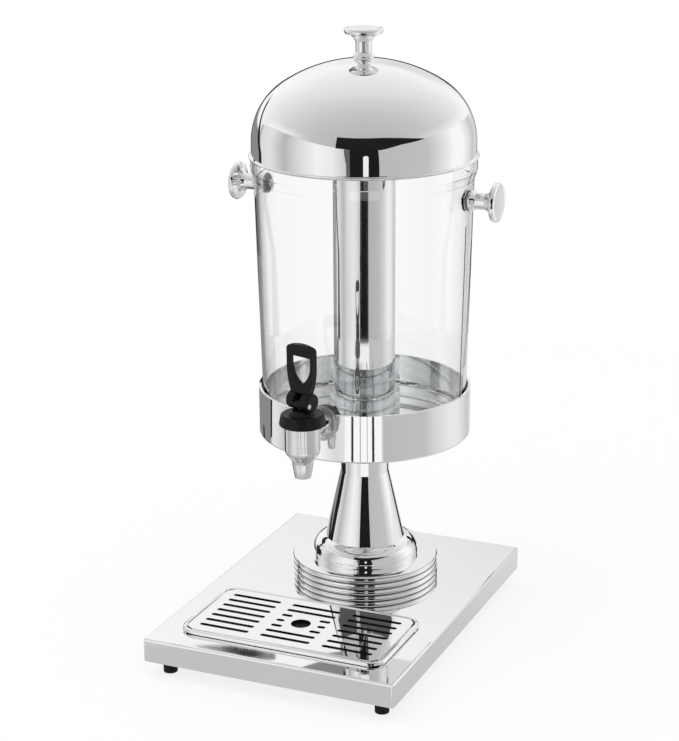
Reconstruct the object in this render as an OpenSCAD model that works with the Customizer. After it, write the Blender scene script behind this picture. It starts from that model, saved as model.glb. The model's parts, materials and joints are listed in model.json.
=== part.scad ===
// Juice dispenser: a clear container with a lever tap stands in a steel cup on a pedestal,
// over a base box with a drip tray. A domed steel lid closes it and an ice tube stands inside.
// Millimetres. The origin is on the table under the middle of the base, +Z is up, -Y is the tap side.

/* [Base box] */
// Width of the base box, side to side
base_w = 260; // [230:1:320]
// Depth of the base box, front to back
base_d = 356; // [340:1:420]
// Height of the folded sides
base_h = 23.5; // [20:0.5:40]
// Bend radius of the box's edges
base_bend_r = 2.5; // [2:0.25:4]
// Sheet thickness of the base box
base_sheet = 1.5; // [1:0.1:1.8]
// Width of the flange turned in under the box
base_flange = 32; // [28:1:45]

/* [Feet] */
// Height of the rubber feet
foot_h = 15.2; // [12:0.2:25]
// Diameter of the rubber feet at their top
foot_d = 15; // [13:0.5:20]
// How much narrower a foot is at the table
foot_taper = 1.4; // [0.5:0.1:2.5]
// Distance of a foot's middle from the box's sides
foot_inset = 19; // [16:0.5:22]
// Diameter of the foot screws
foot_screw_d = 4; // [3:0.5:5]

/* [Pedestal] */
// Distance of the pedestal's axis behind the middle of the base
axis_back = 65; // [50:1:66]
// Diameter of the beaded plinth
plinth_d = 150.2; // [130:0.2:170]
// Height of one bead of the plinth
bead_h = 6.35; // [5:0.05:8]
// Number of beads stacked in the plinth
plinth_beads = 3; // [2:1:5]
// Depth of the groove between two beads
bead_groove = 1.3; // [0.8:0.1:2.4]
// Widest diameter of the bun-shaped column foot
bun_d = 109.2; // [100:0.2:125]
// Height of the bun
bun_h = 19.3; // [15:0.1:24]
// Height of the bun's widest line above the plinth
bun_low = 2.75; // [1:0.25:5]
// Diameter of the crease where the cone leaves the bun
crease_d = 81; // [70:0.5:90]
// Height of the cone
cone_h = 78; // [60:1:110]
// Diameter of the straight neck under the cup
neck_d = 49; // [40:0.5:60]
// Height of the neck
neck_h = 37; // [20:1:60]
// Sheet thickness of the pedestal's spun pieces
column_sheet = 1.5; // [1:0.1:2.5]
// Thickness of the end plates that the tie rod clamps
column_plate = 2.5; // [2:0.1:4]
// Diameter of the tie rod
rod_d = 8; // [6:1:10]

/* [Cup] */
// Outer diameter of the steel cup
cup_d = 213.8; // [200:0.2:224]
// Height of the cup
cup_h = 48.7; // [44:0.1:60]
// Sheet thickness of the cup
cup_sheet = 1.2; // [0.8:0.1:1.8]
// Bend radius at the foot of the cup's wall
cup_bend_r = 2.2; // [2:0.1:4]
// Height of the hem folded at the cup's rim
cup_hem_h = 3; // [2:0.5:5]
// Gap from the cup's wall to the foot of the container
cup_gap = 4; // [3:0.1:6]
// Gap on each side of the tap's gasket in the cup's notch
notch_gap = 2; // [1:0.25:4]

/* [Container] */
// Height of the clear container
vessel_h = 280.8; // [250:0.2:320]
// Wall thickness of the container
vessel_wall = 3; // [2.5:0.1:4]
// Outer diameter of the tapered wall at its top
vessel_top_d = 216.8; // [208:0.2:220]
// How far the rim band stands out from the wall
rim_step = 3.2; // [2:0.1:5]
// Height of the rim band
rim_band_h = 11.3; // [10.5:0.1:16]
// Height of the slope under the rim band
rim_slope_h = 9.3; // [6:0.1:14]
// Height of the hollow under the container's floor
vessel_foot_h = 12; // [11.5:0.1:16]
// Thickness of the container's floor
vessel_floor_t = 4.5; // [3:0.1:6]
// Height of the collar that holds the ice tube
collar_h = 24; // [15:0.5:40]
// Wall thickness of the collar
collar_wall = 4.7; // [3:0.1:6]

/* [Ice tube] */
// Outer diameter of the ice tube
ice_tube_d = 61.6; // [50:0.2:70]
// Wall thickness of the ice tube
ice_tube_wall = 1.2; // [0.8:0.1:2]
// How far the ice tube reaches above the container's rim
ice_tube_rise = 12; // [0:1:20]
// Diameter of the bead rolled on the ice tube's mouth
ice_tube_bead_d = 2.6; // [2.2:0.1:4]
// Gap between the ice tube and its collar
ice_tube_gap = 0.5; // [0.3:0.1:1]

/* [Lid] */
// Height of the lid without its knob
lid_h = 95.4; // [90:0.2:120]
// Height of the straight skirt
lid_skirt_h = 15; // [10:0.5:20]
// Radius of the shoulder between skirt and crown
lid_shoulder_r = 68; // [50:1:70]
// Sheet thickness of the lid
lid_sheet = 1.2; // [0.8:0.1:1.6]
// How far the lid's skirt is set in from the container's rim
lid_set_in = 1.1; // [0.8:0.1:1.5]
// How far the lid's flange overhangs the container's rim
lid_overhang = 1.4; // [0.5:0.1:2]
// Thickness of the rolled flange
lid_flange_t = 2.2; // [1.8:0.1:3]
// Depth of the locating ring inside the container's rim
lid_ring_h = 8.5; // [5:0.5:9.5]
// Gap between the locating ring and the container
lid_ring_gap = 1; // [0.5:0.1:1.2]

/* [Knobs] */
// Length of a knob
knob_h = 29.4; // [27:0.2:36]
// Diameter of a knob's disc
knob_d = 37.8; // [32:0.2:44]
// Thickness of the disc's rounded edge
knob_edge_t = 5; // [4:0.1:6]
// Diameter of the knob's foot
knob_foot_d = 20; // [19:0.2:22]
// Length of the knob's foot
knob_foot_h = 4.6; // [3:0.2:6]
// Diameter of the knob's waist
knob_waist_d = 15.2; // [13:0.2:17]
// Depth of the dish in the disc's face
knob_dish = 0.8; // [0.4:0.1:1.2]
// Diameter of the knob screws
knob_screw_d = 5; // [4:0.5:6]
// Distance of the side knobs below the container's rim
knob_drop = 35.5; // [32:0.5:60]
// Thickness of the gasket under a side knob
knob_gasket_t = 2; // [1:0.1:3]

/* [Tap] */
// Distance of the tap's axis in front of the cup
tap_reach = 45.1; // [44:0.1:60]
// Distance of the tap's shank below the cup's rim
tap_drop = 8.6; // [6:0.2:14]
// Diameter of the tap's body
tap_d = 34.4; // [32:0.2:38]
// Height of the straight body below the shank
tap_body_low = 11.2; // [10:0.2:16]
// Height of the straight body above the shank
tap_body_high = 12.2; // [11:0.2:16]
// Height of the ogee between body and spout
ogee_h = 12.6; // [10:0.2:16]
// Share of the ogee's height in its upper, outward arc
ogee_share = 0.32; // [0.25:0.01:0.5]
// Diameter of the spout below the ogee
spout_top_d = 20; // [18:0.2:24]
// Diameter of the spout's end
spout_end_d = 16; // [15:0.2:18]
// Length of the spout below the ogee
spout_h = 16.7; // [10:0.1:24]
// Diameter of the spout's passage
outlet_d = 12; // [9:0.5:13]
// Diameter of the valve chamber
chamber_d = 27; // [25:0.5:28]
// Diameter of the threaded shank
shank_d = 16; // [14:0.5:18]
// Diameter of the shank's passage
inlet_d = 10; // [6:0.5:11]
// Diameter of the pale washer behind the back nut
tap_washer_d = 35; // [30:0.5:37]
// Thickness of that washer
tap_washer_t = 3; // [2:0.1:4]
// Width of the hexagonal back nut across its flats
back_nut_af = 24; // [22:0.5:28]
// Thickness of the back nut
back_nut_t = 6; // [4:0.5:8]
// Thickness of the lock nut inside the container
lock_nut_t = 9; // [6:0.5:10]

/* [Tap bonnet] */
// Diameter of the bonnet
bonnet_d = 44.4; // [42:0.2:48]
// Height of the bonnet's side
bonnet_h = 11.4; // [10:0.1:14]
// How far the bonnet's side leans in towards its top
bonnet_taper = 1.5; // [0.5:0.1:2.5]
// Rounding of the bonnet's lower edge
bonnet_edge_r = 1.8; // [0.8:0.1:2.2]
// Number of finger flats round the bonnet
bonnet_flats = 8; // [6:1:16]
// Depth of a finger flat
bonnet_flat_depth = 0.45; // [0.2:0.05:0.8]
// Diameter of the bonnet's collar at its top
collar_top_d = 19.6; // [18:0.2:24]
// Diameter of the collar at its foot
collar_base_d = 26.4; // [24.5:0.2:30]
// Height of the bonnet's collar
collar_rise = 3.6; // [2:0.1:5]

/* [Tap lever] */
// Angle that the lever is turned about the tap's axis
lever_yaw = -17; // [-60:1:60]
// Radius of the lever's round hub, which is the cam
hub_r = 8.8; // [8:0.1:11]
// Width of the hub
hub_w = 27; // [25.5:0.5:32]
// Rounding of the hub's ends
hub_edge_r = 1.6; // [0.5:0.1:2.5]
// Distance of the pin in front of the hub's middle
pin_ahead = 4.9; // [3:0.1:5.5]
// Distance of the pin below the hub's middle
pin_below = 2.3; // [1.8:0.1:3.2]
// Diameter of the pin
pin_d = 4.5; // [3:0.25:5]
// Angle that the lever tilts back to open the tap
lever_tilt = 40; // [25:1:45]
// Height of the lever above the hub's middle
lever_h = 55.4; // [48:0.2:80]
// Length of the lever's straight sides below its top
lever_side_h = 21; // [14:0.5:26]
// Width of the lever at its top
lever_top_w = 32.8; // [31:0.2:40]
// Radius of the lever's arched top edge
lever_crown_r = 50; // [36:1:80]
// Width of the lever at its waist
lever_waist_w = 24; // [20:0.2:26]
// Height of the waist above the hub's middle
lever_waist_h = 9.6; // [9:0.2:14]
// Thickness of the lever
lever_t = 5.8; // [4.5:0.1:8]
// Radius of the lever's top corners
lever_corner_r = 4.5; // [2:0.1:6]
// Width of the lever's window
window_w = 25.6; // [16:0.2:26.4]
// Height of the lever's window
window_h = 27.6; // [20:0.2:30]
// Length of the window's straight sides
window_side_h = 8; // [3:0.5:12]
// Rounding of the window's point
window_tip_r = 2; // [1:0.1:3]
// Distance of the window below the lever's top
window_drop = 11.4; // [8:0.2:14]
// Diameter of the stem
stem_d = 5; // [4:0.25:5.5]
// Thickness of the stem's head between the lever's cheeks
stem_head_w = 8; // [6:0.2:9]

/* [Tap valve] */
// Diameter of the rubber seat cup
seat_d = 19; // [17:0.5:22]
// Height of the seat cup
seat_h = 9.5; // [8:0.5:11]
// Mean diameter of the closing spring
spring_d = 13; // [11:0.25:14]
// Diameter of the spring's wire
spring_wire_d = 1.6; // [1:0.1:1.8]
// Number of turns of the spring
spring_turns = 6; // [4:1:7]

/* [Drip tray] */
// Width of the drip tray
tray_w = 201; // [180:1:220]
// Depth of the drip tray
tray_d = 129; // [120:1:132]
// Distance of the tray's middle in front of the middle of the base
tray_ahead = 97; // [92:0.5:105]
// Height of the tray
tray_h = 6.2; // [6:0.1:12]
// Width of the tray's rolled rim
tray_rim_w = 6; // [5:0.1:7]
// Gap under the outer lip of the rolled rim
tray_lip_gap = 1.6; // [0.5:0.1:2.4]
// Sheet thickness of the tray and its grille
tray_sheet = 0.8; // [0.6:0.1:0.9]
// Outer corner radius of the tray
tray_corner_r = 15; // [12:0.5:25]
// Gap round the grille in the tray
grille_gap = 0.6; // [0.4:0.1:1]
// How far the grille lies below the tray's rim
grille_drop = 0.4; // [0.3:0.1:0.6]
// Length of a slot in the grille
slot_l = 52; // [40:1:55]
// Width of a slot
slot_w = 5; // [3:0.1:6]
// Distance from one row of slots to the next
slot_pitch = 12.4; // [10:0.1:13]
// Number of rows of slots
slot_rows = 7; // [5:2:7]
// Distance from one bank of slots to the next
bank_pitch = 64.6; // [60:0.2:68]
// Diameter of the drain hole in the middle of the grille
drain_d = 19.6; // [14:0.2:24]
// Diameter of the plain ring round the drain hole
drain_ring_d = 34; // [28:0.5:40]

/* [Hidden] */
$fn = 96;

// Gap at which a loose piece rests on its seat, clearance of a screw in its hole, running
// clearance of a pin or stem, and how far a cutting shape reaches past a face
rest_gap = 0.1;
hole_gap = 0.25;
run_gap = 0.06;
past = 1;

// Proportions of hexagon nuts, washers and screw heads in thread diameters
nut_af_ratio = 1.7;
nut_t_ratio = 0.8;
washer_d_ratio = 2.2;
washer_t_ratio = 0.2;
head_d_ratio = 1.8;
head_t_ratio = 0.55;

// Heights of the stand, from the table up
z_pan = foot_h;
z_top = z_pan + base_h;
plinth_h = plinth_beads * bead_h;
z_plinth = z_top + plinth_h;
z_crease = z_plinth + bun_h;
z_cup = z_crease + cone_h + neck_h;
z_cup_floor = z_cup + cup_sheet;
z_cup_rim = z_cup + cup_h;

// Pedestal radii: the bun is an arc from its foot to the crease, widest at bun_low
plinth_r = plinth_d / 2;
bead_arc_r = (bead_h * bead_h / 4 + bead_groove * bead_groove) / (2 * bead_groove);
bun_inset = (bun_d - crease_d) / 2;
bun_rise = bun_h - bun_low;
bun_arc_r = (bun_inset * bun_inset + bun_rise * bun_rise) / (2 * bun_inset);
bun_centre_r = bun_d / 2 - bun_arc_r;
rod_hole_r = rod_d / 2 + hole_gap;
rod_washer_t = rod_d * washer_t_ratio;
rod_nut_t = rod_d * nut_t_ratio;
z_rod_low = z_top - base_sheet - rod_washer_t - rod_nut_t - rod_washer_t;
z_rod_high = z_cup_floor + rod_washer_t + rod_nut_t + rod_washer_t / 2;

// Container: the wall tapers from the rim slope to the foot
cup_r = cup_d / 2;
z_foot = z_cup_floor + rest_gap;
z_rim = z_foot + vessel_h;
foot_r = cup_r - cup_sheet - cup_gap;
wall_top_r = vessel_top_d / 2;
rim_r = wall_top_r + rim_step;
slope_at = vessel_h - rim_band_h - rim_slope_h;
floor_at = vessel_foot_h + vessel_floor_t;
foot_edge = vessel_wall / 2;
function wall_r(h) = foot_r + (wall_top_r - foot_r) * h / slope_at;
tube_r = ice_tube_d / 2;
collar_in_r = tube_r + ice_tube_gap;
collar_out_r = collar_in_r + collar_wall;

// Side knobs: flat bosses on the wall give the gaskets and screw heads a seat
z_knob = z_rim - knob_drop;
boss_proud = 1.2;
knob_boss_r = knob_foot_d / 2 + boss_proud;
knob_seat_r = wall_r(z_knob - z_foot) + boss_proud / 2;
knob_head_r = knob_seat_r - vessel_wall - boss_proud;
knob_hole_r = knob_screw_d / 2 + hole_gap;
knob_bore_h = knob_h / 2;

// Tap: seats along the shank are distances from the container's axis
z_tap = z_cup_rim - tap_drop;
tap_axis_r = cup_r + tap_reach;
tap_y = axis_back - tap_axis_r;
shank_r = shank_d / 2;
gasket_spigot_r = shank_r + 2;
notch_r = gasket_spigot_r + notch_gap;
cup_run_gap = 0.4;
boss_seat_r = cup_r - cup_sheet - cup_run_gap - notch_r * notch_r / cup_r / 2;
tap_boss_r = notch_r - cup_run_gap;
lock_nut_d = 2 * gasket_spigot_r + 8;
lock_wall_r = wall_r(z_tap - lock_nut_d / 2 - z_foot) - vessel_wall;
boss_head_r = sqrt(lock_wall_r * lock_wall_r - lock_nut_d * lock_nut_d / 4) - 2 * rest_gap;
washer_seat_r = cup_r + cup_run_gap;
nut_seat_r = washer_seat_r + tap_washer_t;
inner_gasket_t = 2;
lock_seat_r = boss_head_r - inner_gasket_t;
shank_end_r = lock_seat_r - lock_nut_t - 2;

// Tap body heights: the valve seat lies at the foot of the chamber
z_body_low = z_tap - tap_body_low;
z_bonnet = z_tap + tap_body_high;
z_ogee = z_body_low - ogee_h;
z_spout = z_ogee - spout_h;
z_seat = z_body_low - ogee_h / 5;
tap_r = tap_d / 2;
thread_wall = 2.4;
thread_r = bonnet_d / 2 - thread_wall;
seal_t = 1;
z_bonnet_top = z_bonnet + bonnet_h;
bonnet_top_t = 2.8;
z_bonnet_under = z_bonnet_top - bonnet_top_t;
z_body_top = z_bonnet_under - seal_t;
z_collar = z_bonnet_top + collar_rise;
outlet_r = outlet_d / 2;
chamber_r = chamber_d / 2;

// Lever and stem: the hub rides on the bonnet's collar as an eccentric cam round the pin
cam_gap = 0.3;
z_hub = z_collar + cam_gap + hub_r;
z_pin = z_hub - pin_below;
cheek_gap = 0.3;
head_r = pin_d / 2 + 1.7;
stem_r = stem_d / 2;
slot_reach = sqrt(pow(pin_ahead + stem_r, 2) + pow(hub_r - pin_below + cam_gap, 2)) + cheek_gap;
hub_low = hub_r - pin_below * cos(lever_tilt) + pin_ahead * sin(lever_tilt);
slot_low_reach = sqrt(pow(pin_ahead + stem_r, 2) + pow(hub_low, 2)) + cheek_gap;
seat_socket_h = seat_h * 0.7;
z_valve = z_seat + rest_gap;
z_valve_top = z_valve + seat_h;
window_top = lever_h - window_drop;
window_arc_h = window_h - window_side_h;
window_tip_at = window_arc_h - window_tip_r;
window_arc_r = (window_tip_at * window_tip_at - window_tip_r * window_tip_r + window_w * window_w / 4)
  / (window_w - 2 * window_tip_r);
side_low = lever_h - lever_side_h;

// Spring between the seat cup and the bonnet
spring_low = z_valve_top + rest_gap + spring_wire_d / 2;
spring_high = z_bonnet_under - rest_gap - spring_wire_d / 2;
spring_sides = 6;
spring_steps = 10;

// Ice tube and lid
z_tube = z_foot + floor_at + rest_gap;
tube_h = z_rim + ice_tube_rise - z_tube;
z_lid = z_rim + rest_gap;
skirt_r = rim_r - lid_set_in;
flange_r = rim_r + lid_overhang;
shoulder_in = skirt_r - lid_shoulder_r;
dome_h = lid_h - lid_skirt_h;
crown_r = (shoulder_in * shoulder_in + dome_h * dome_h - lid_shoulder_r * lid_shoulder_r)
  / (2 * (dome_h - lid_shoulder_r));
crown_at = lid_h - crown_r;
lid_ring_r = rim_r - vessel_wall - lid_ring_gap;
function crown_sag(r, at) = r - sqrt(r * r - at * at);
z_apex = z_lid + lid_h;
z_apex_under = z_apex - lid_sheet;
lid_washer_r = knob_screw_d * washer_d_ratio / 2;
lid_washer_t = knob_screw_d * washer_t_ratio;
z_lid_washer = z_apex_under - crown_sag(crown_r - lid_sheet, lid_washer_r) - lid_washer_t;

// Drip tray and grille
tray_in_w = tray_w - 2 * tray_rim_w;
tray_in_d = tray_d - 2 * tray_rim_w;
tray_in_r = tray_corner_r - tray_rim_w;
tray_roll_r = tray_rim_w / 2;
z_tray = z_top + rest_gap;
grille_w = tray_in_w - 2 * grille_gap;
grille_d = tray_in_d - 2 * grille_gap;
grille_r = tray_in_r - grille_gap;
z_grille = z_tray + tray_sheet + rest_gap;
grille_h = tray_h - tray_sheet - rest_gap - grille_drop;

steel = [0.78, 0.79, 0.8];
bright = [0.9, 0.9, 0.91];
black = [0.07, 0.07, 0.075];
clear = [0.85, 0.9, 0.92, 0.35];
pale = [0.86, 0.86, 0.82];

// Places a shape on the axis of the pedestal and container
module on_axis(z) {
  translate([0, axis_back, z]) children();
}

// Places a shape on the axis of the tap
module on_tap(z) {
  translate([0, tap_y, z]) children();
}

// Lays a shape's +Z along the tap's shank, outwards, starting at a distance from the container's axis
module along_shank(r) {
  translate([0, axis_back - r, z_tap]) rotate([90, 0, 0]) children();
}

// Lays a shape's +Z outwards along a side knob's axis; side is -1 on the left and 1 on the right
module along_knob(side, r) {
  translate([side * r, axis_back, z_knob]) rotate([0, side * 90, 0]) children();
}

// Turns a shape drawn about the hub's middle to the lever's place, X across the lever and Z up
module at_hub() {
  on_tap(z_hub) rotate([0, 0, lever_yaw]) children();
}

// Repeats a shape at the four feet
module at_feet(z) {
  for (x = [-1, 1], y = [-1, 1])
    translate([x * (base_w / 2 - foot_inset), y * (base_d / 2 - foot_inset), z]) children();
}

module rounded_rect(w, d, r) {
  square([w - 2 * r, d], center = true);
  square([w, d - 2 * r], center = true);
  for (x = [-1, 1], y = [-1, 1])
    translate([x * (w / 2 - r), y * (d / 2 - r)]) circle(r);
}

// Upright outline with its two top corners rounded
module bent_outline(w, h, r) {
  translate([-w / 2, 0]) square([w, h - r]);
  translate([r - w / 2, 0]) square([w - 2 * r, h]);
  for (x = [-1, 1]) translate([x * (w / 2 - r), h - r]) circle(r);
}

// Box with its upright and top edges bent round
module bent_box(w, d, h, r) {
  intersection() {
    linear_extrude(h) rounded_rect(w, d, r);
    translate([0, d / 2, 0]) rotate([90, 0, 0]) linear_extrude(d) bent_outline(w, h, r);
    translate([-w / 2, 0, 0]) rotate([90, 0, 90]) linear_extrude(w) bent_outline(d, h, r);
  }
}

module ring(outer_r, inner_r, h) {
  difference() {
    cylinder(r = outer_r, h = h);
    translate([0, 0, -past]) cylinder(r = inner_r, h = h + 2 * past);
  }
}

// Hexagon nut with a plain bore
module hex_nut(af, bore_d, t) {
  difference() {
    cylinder(d = af / cos(30), h = t, $fn = 6);
    translate([0, 0, -past]) cylinder(d = bore_d, h = t + 2 * past);
  }
}

// Screw with a flat round head below z = 0 and its shank above
module screw(d, shank_h) {
  translate([0, 0, -d * head_t_ratio]) cylinder(d = d * head_d_ratio, h = d * head_t_ratio);
  cylinder(d = d, h = shank_h);
}

// Turned knob standing on z = 0: foot, waist, flared disc with a rounded edge and a dished face
module knob() {
  edge_r = knob_edge_t / 2;
  disc_r = knob_d / 2;
  foot_top_r = knob_foot_d / 2;
  disc_low = knob_h - knob_edge_t;
  flare_h = knob_edge_t * 0.7;
  waist_low = knob_foot_h;
  waist_high = disc_low - flare_h;
  waist_mid = (waist_low + waist_high) / 2;
  waist_half = (waist_high - waist_low) / 2;
  waist_in = foot_top_r - knob_waist_d / 2;
  waist_arc_r = (waist_half * waist_half + waist_in * waist_in) / (2 * waist_in);
  dish_r = disc_r - knob_edge_t;
  dish_arc_r = (dish_r * dish_r + knob_dish * knob_dish) / (2 * knob_dish);
  rotate_extrude() difference() {
    union() {
      square([foot_top_r, waist_high]);
      polygon([
        [0, waist_high], [foot_top_r, waist_high], [disc_r - edge_r, disc_low], [0, disc_low]
      ]);
      translate([0, disc_low]) square([disc_r - edge_r, knob_edge_t]);
      translate([disc_r - edge_r, disc_low + edge_r]) circle(edge_r);
    }
    translate([knob_waist_d / 2 + waist_arc_r, waist_mid]) circle(waist_arc_r);
    translate([0, knob_h - knob_dish + dish_arc_r]) circle(dish_arc_r);
    translate([-past, -past]) square([past + knob_screw_d / 2, past + knob_bore_h]);
  }
}

// Folded base box, open below between its turned-in flanges
module base_pan() {
  color(bright) translate([0, 0, z_pan]) difference() {
    bent_box(base_w, base_d, base_h, base_bend_r);
    translate([0, 0, base_sheet])
      bent_box(base_w - 2 * base_sheet, base_d - 2 * base_sheet, base_h - 2 * base_sheet,
        base_bend_r - base_sheet);
    translate([0, 0, -past]) linear_extrude(2 * past + base_sheet)
      square([base_w - 2 * base_flange, base_d - 2 * base_flange], center = true);
    on_axis(base_h - base_sheet - past) cylinder(r = rod_hole_r, h = base_sheet + 2 * past);
    at_feet(-past) cylinder(r = foot_screw_d / 2 + hole_gap, h = base_sheet + 2 * past);
  }
}

// Rubber feet, tapered and hollowed below for the screw heads
module foot_pads() {
  foot_r = foot_d / 2;
  hole_r = foot_screw_d / 2 + hole_gap;
  well_r = foot_screw_d * head_d_ratio / 2 + hole_gap;
  color(black) at_feet(0) rotate_extrude() polygon([
    [well_r, 0], [foot_r - foot_taper / 2, 0], [foot_r, foot_h], [hole_r, foot_h],
    [hole_r, foot_h / 2], [well_r, foot_h / 2]
  ]);
}

module foot_screws() {
  nut_t = foot_screw_d * nut_t_ratio;
  color(steel) at_feet(foot_h / 2) screw(foot_screw_d, foot_h / 2 + base_sheet + nut_t);
}

module foot_nuts() {
  color(steel) at_feet(z_pan + base_sheet)
    hex_nut(foot_screw_d * nut_af_ratio, foot_screw_d, foot_screw_d * nut_t_ratio);
}

// Beaded plinth: a hollow spinning with rounded beads stacked up its side
module plinth() {
  color(bright) on_axis(z_top) rotate_extrude() difference() {
    union() {
      translate([rod_hole_r, 0]) square([plinth_r - 2 * bead_groove - rod_hole_r, plinth_h]);
      for (i = [0 : plinth_beads - 1]) intersection() {
        translate([plinth_r - bead_arc_r, (i + 0.5) * bead_h]) circle(bead_arc_r);
        translate([plinth_r - bead_arc_r, i * bead_h]) square([bead_arc_r, bead_h]);
      }
    }
    square([plinth_r - 2 * bead_groove - column_sheet, plinth_h - column_plate]);
  }
}

// Bun at the foot of the column: a hollow spinning whose side is one arc
module column_foot() {
  inner_h = bun_h - column_plate;
  color(bright) on_axis(z_plinth) rotate_extrude() difference() {
    union() {
      translate([rod_hole_r, 0]) square([bun_centre_r - rod_hole_r, bun_h]);
      intersection() {
        translate([bun_centre_r, bun_low]) circle(bun_arc_r);
        square([bun_d, bun_h]);
      }
    }
    square([bun_centre_r, inner_h]);
    intersection() {
      translate([bun_centre_r, bun_low]) circle(bun_arc_r - column_sheet);
      square([bun_d, inner_h]);
    }
  }
}

// Tapered column and its straight neck, hollow, with a plate at the top for the tie rod
module column_cone() {
  top = cone_h + neck_h;
  neck_r = neck_d / 2;
  crease_r = crease_d / 2;
  color(bright) on_axis(z_crease) rotate_extrude() polygon([
    [crease_r - column_sheet, 0], [crease_r, 0], [neck_r, cone_h], [neck_r, top],
    [rod_hole_r, top], [rod_hole_r, top - column_plate],
    [neck_r - column_sheet, top - column_plate], [neck_r - column_sheet, cone_h]
  ]);
}

module tie_rod() {
  color(steel) on_axis(z_rod_low) cylinder(d = rod_d, h = z_rod_high - z_rod_low);
}

module tie_rod_nuts() {
  af = rod_d * nut_af_ratio;
  color(steel) {
    on_axis(z_top - base_sheet - rod_washer_t - rod_nut_t) hex_nut(af, rod_d, rod_nut_t);
    on_axis(z_cup_floor + rod_washer_t) hex_nut(af, rod_d, rod_nut_t);
  }
}

module tie_rod_washers() {
  washer_r = rod_d * washer_d_ratio / 2;
  color(steel) {
    on_axis(z_top - base_sheet - rod_washer_t) ring(washer_r, rod_hole_r, rod_washer_t);
    on_axis(z_cup_floor) ring(washer_r, rod_hole_r, rod_washer_t);
  }
}

// Outline of a round pan from its axis to its side, its lower corner bent
module pan_outline(r, h, bend) {
  square([r - bend, h]);
  translate([0, bend]) square([r, h - bend]);
  translate([r - bend, bend]) circle(bend);
}

// Steel cup that holds the container, with a folded rim and a notch for the tap's shank
module cup() {
  color(bright) difference() {
    on_axis(z_cup) rotate_extrude() difference() {
      union() {
        difference() {
          pan_outline(cup_r, cup_h, cup_bend_r);
          translate([0, cup_sheet])
            pan_outline(cup_r - cup_sheet, cup_h, cup_bend_r - cup_sheet);
        }
        translate([cup_r - 2 * cup_sheet, cup_h - cup_hem_h]) square([2 * cup_sheet, cup_hem_h]);
      }
      translate([-past, -past]) square([past + rod_hole_r, cup_sheet + 2 * past]);
    }
    along_shank(cup_r / 2) {
      cylinder(r = notch_r, h = cup_r);
      translate([-notch_r, 0, 0]) cube([2 * notch_r, cup_h, cup_r]);
    }
  }
}

// Sweeps an outline round a rounded rectangle: X of the outline runs outwards from the inner edge
module swept_rim(w, d, r) {
  for (side = [0 : 3]) {
    across = side % 2 == 0 ? w : d;
    along = side % 2 == 0 ? d : w;
    rotate([0, 0, side * 90]) {
      translate([across / 2, along / 2 - r, 0]) rotate([90, 0, 0])
        linear_extrude(along - 2 * r) children();
      translate([across / 2 - r, along / 2 - r, 0]) rotate_extrude(angle = 90)
        translate([r, 0]) children();
    }
  }
}

// Cross-section of the tray's rolled rim: inner wall, half-round roll, outer lip
module tray_rim_section() {
  roll_at = tray_h - tray_roll_r;
  square([tray_sheet, roll_at]);
  translate([tray_rim_w - tray_sheet, tray_lip_gap]) square([tray_sheet, roll_at - tray_lip_gap]);
  translate([tray_roll_r, roll_at]) difference() {
    circle(tray_roll_r);
    circle(tray_roll_r - tray_sheet);
    translate([-tray_rim_w, -tray_rim_w]) square([2 * tray_rim_w, tray_rim_w]);
  }
}

module drip_tray() {
  floor_w = tray_in_w + tray_sheet;
  floor_d = tray_in_d + tray_sheet;
  color(bright) translate([0, -tray_ahead, z_tray]) {
    linear_extrude(tray_sheet) rounded_rect(floor_w, floor_d, tray_in_r + tray_sheet / 2);
    swept_rim(tray_in_w, tray_in_d, tray_in_r) tray_rim_section();
  }
}

// Straight slot with round ends, along X
module slot_outline(l, w) {
  square([l - w, w], center = true);
  for (x = [-1, 1]) translate([x * (l - w) / 2, 0]) circle(w / 2);
}

// Grille: three banks of slots round a plain ring and drain hole, on a turned-down edge
module drip_grille() {
  first_row = -(slot_rows - 1) / 2;
  color(bright) translate([0, -tray_ahead, z_grille]) {
    translate([0, 0, grille_h - tray_sheet]) linear_extrude(tray_sheet) difference() {
      rounded_rect(grille_w, grille_d, grille_r);
      difference() {
        for (bank = [-1 : 1], row = [0 : slot_rows - 1])
          translate([bank * bank_pitch, (first_row + row) * slot_pitch])
            slot_outline(slot_l, slot_w);
        circle(d = drain_ring_d);
      }
      circle(d = drain_d);
    }
    linear_extrude(grille_h - tray_sheet / 2) difference() {
      rounded_rect(grille_w, grille_d, grille_r);
      rounded_rect(grille_w - 2 * tray_sheet, grille_d - 2 * tray_sheet, grille_r - tray_sheet);
    }
  }
}

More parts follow.
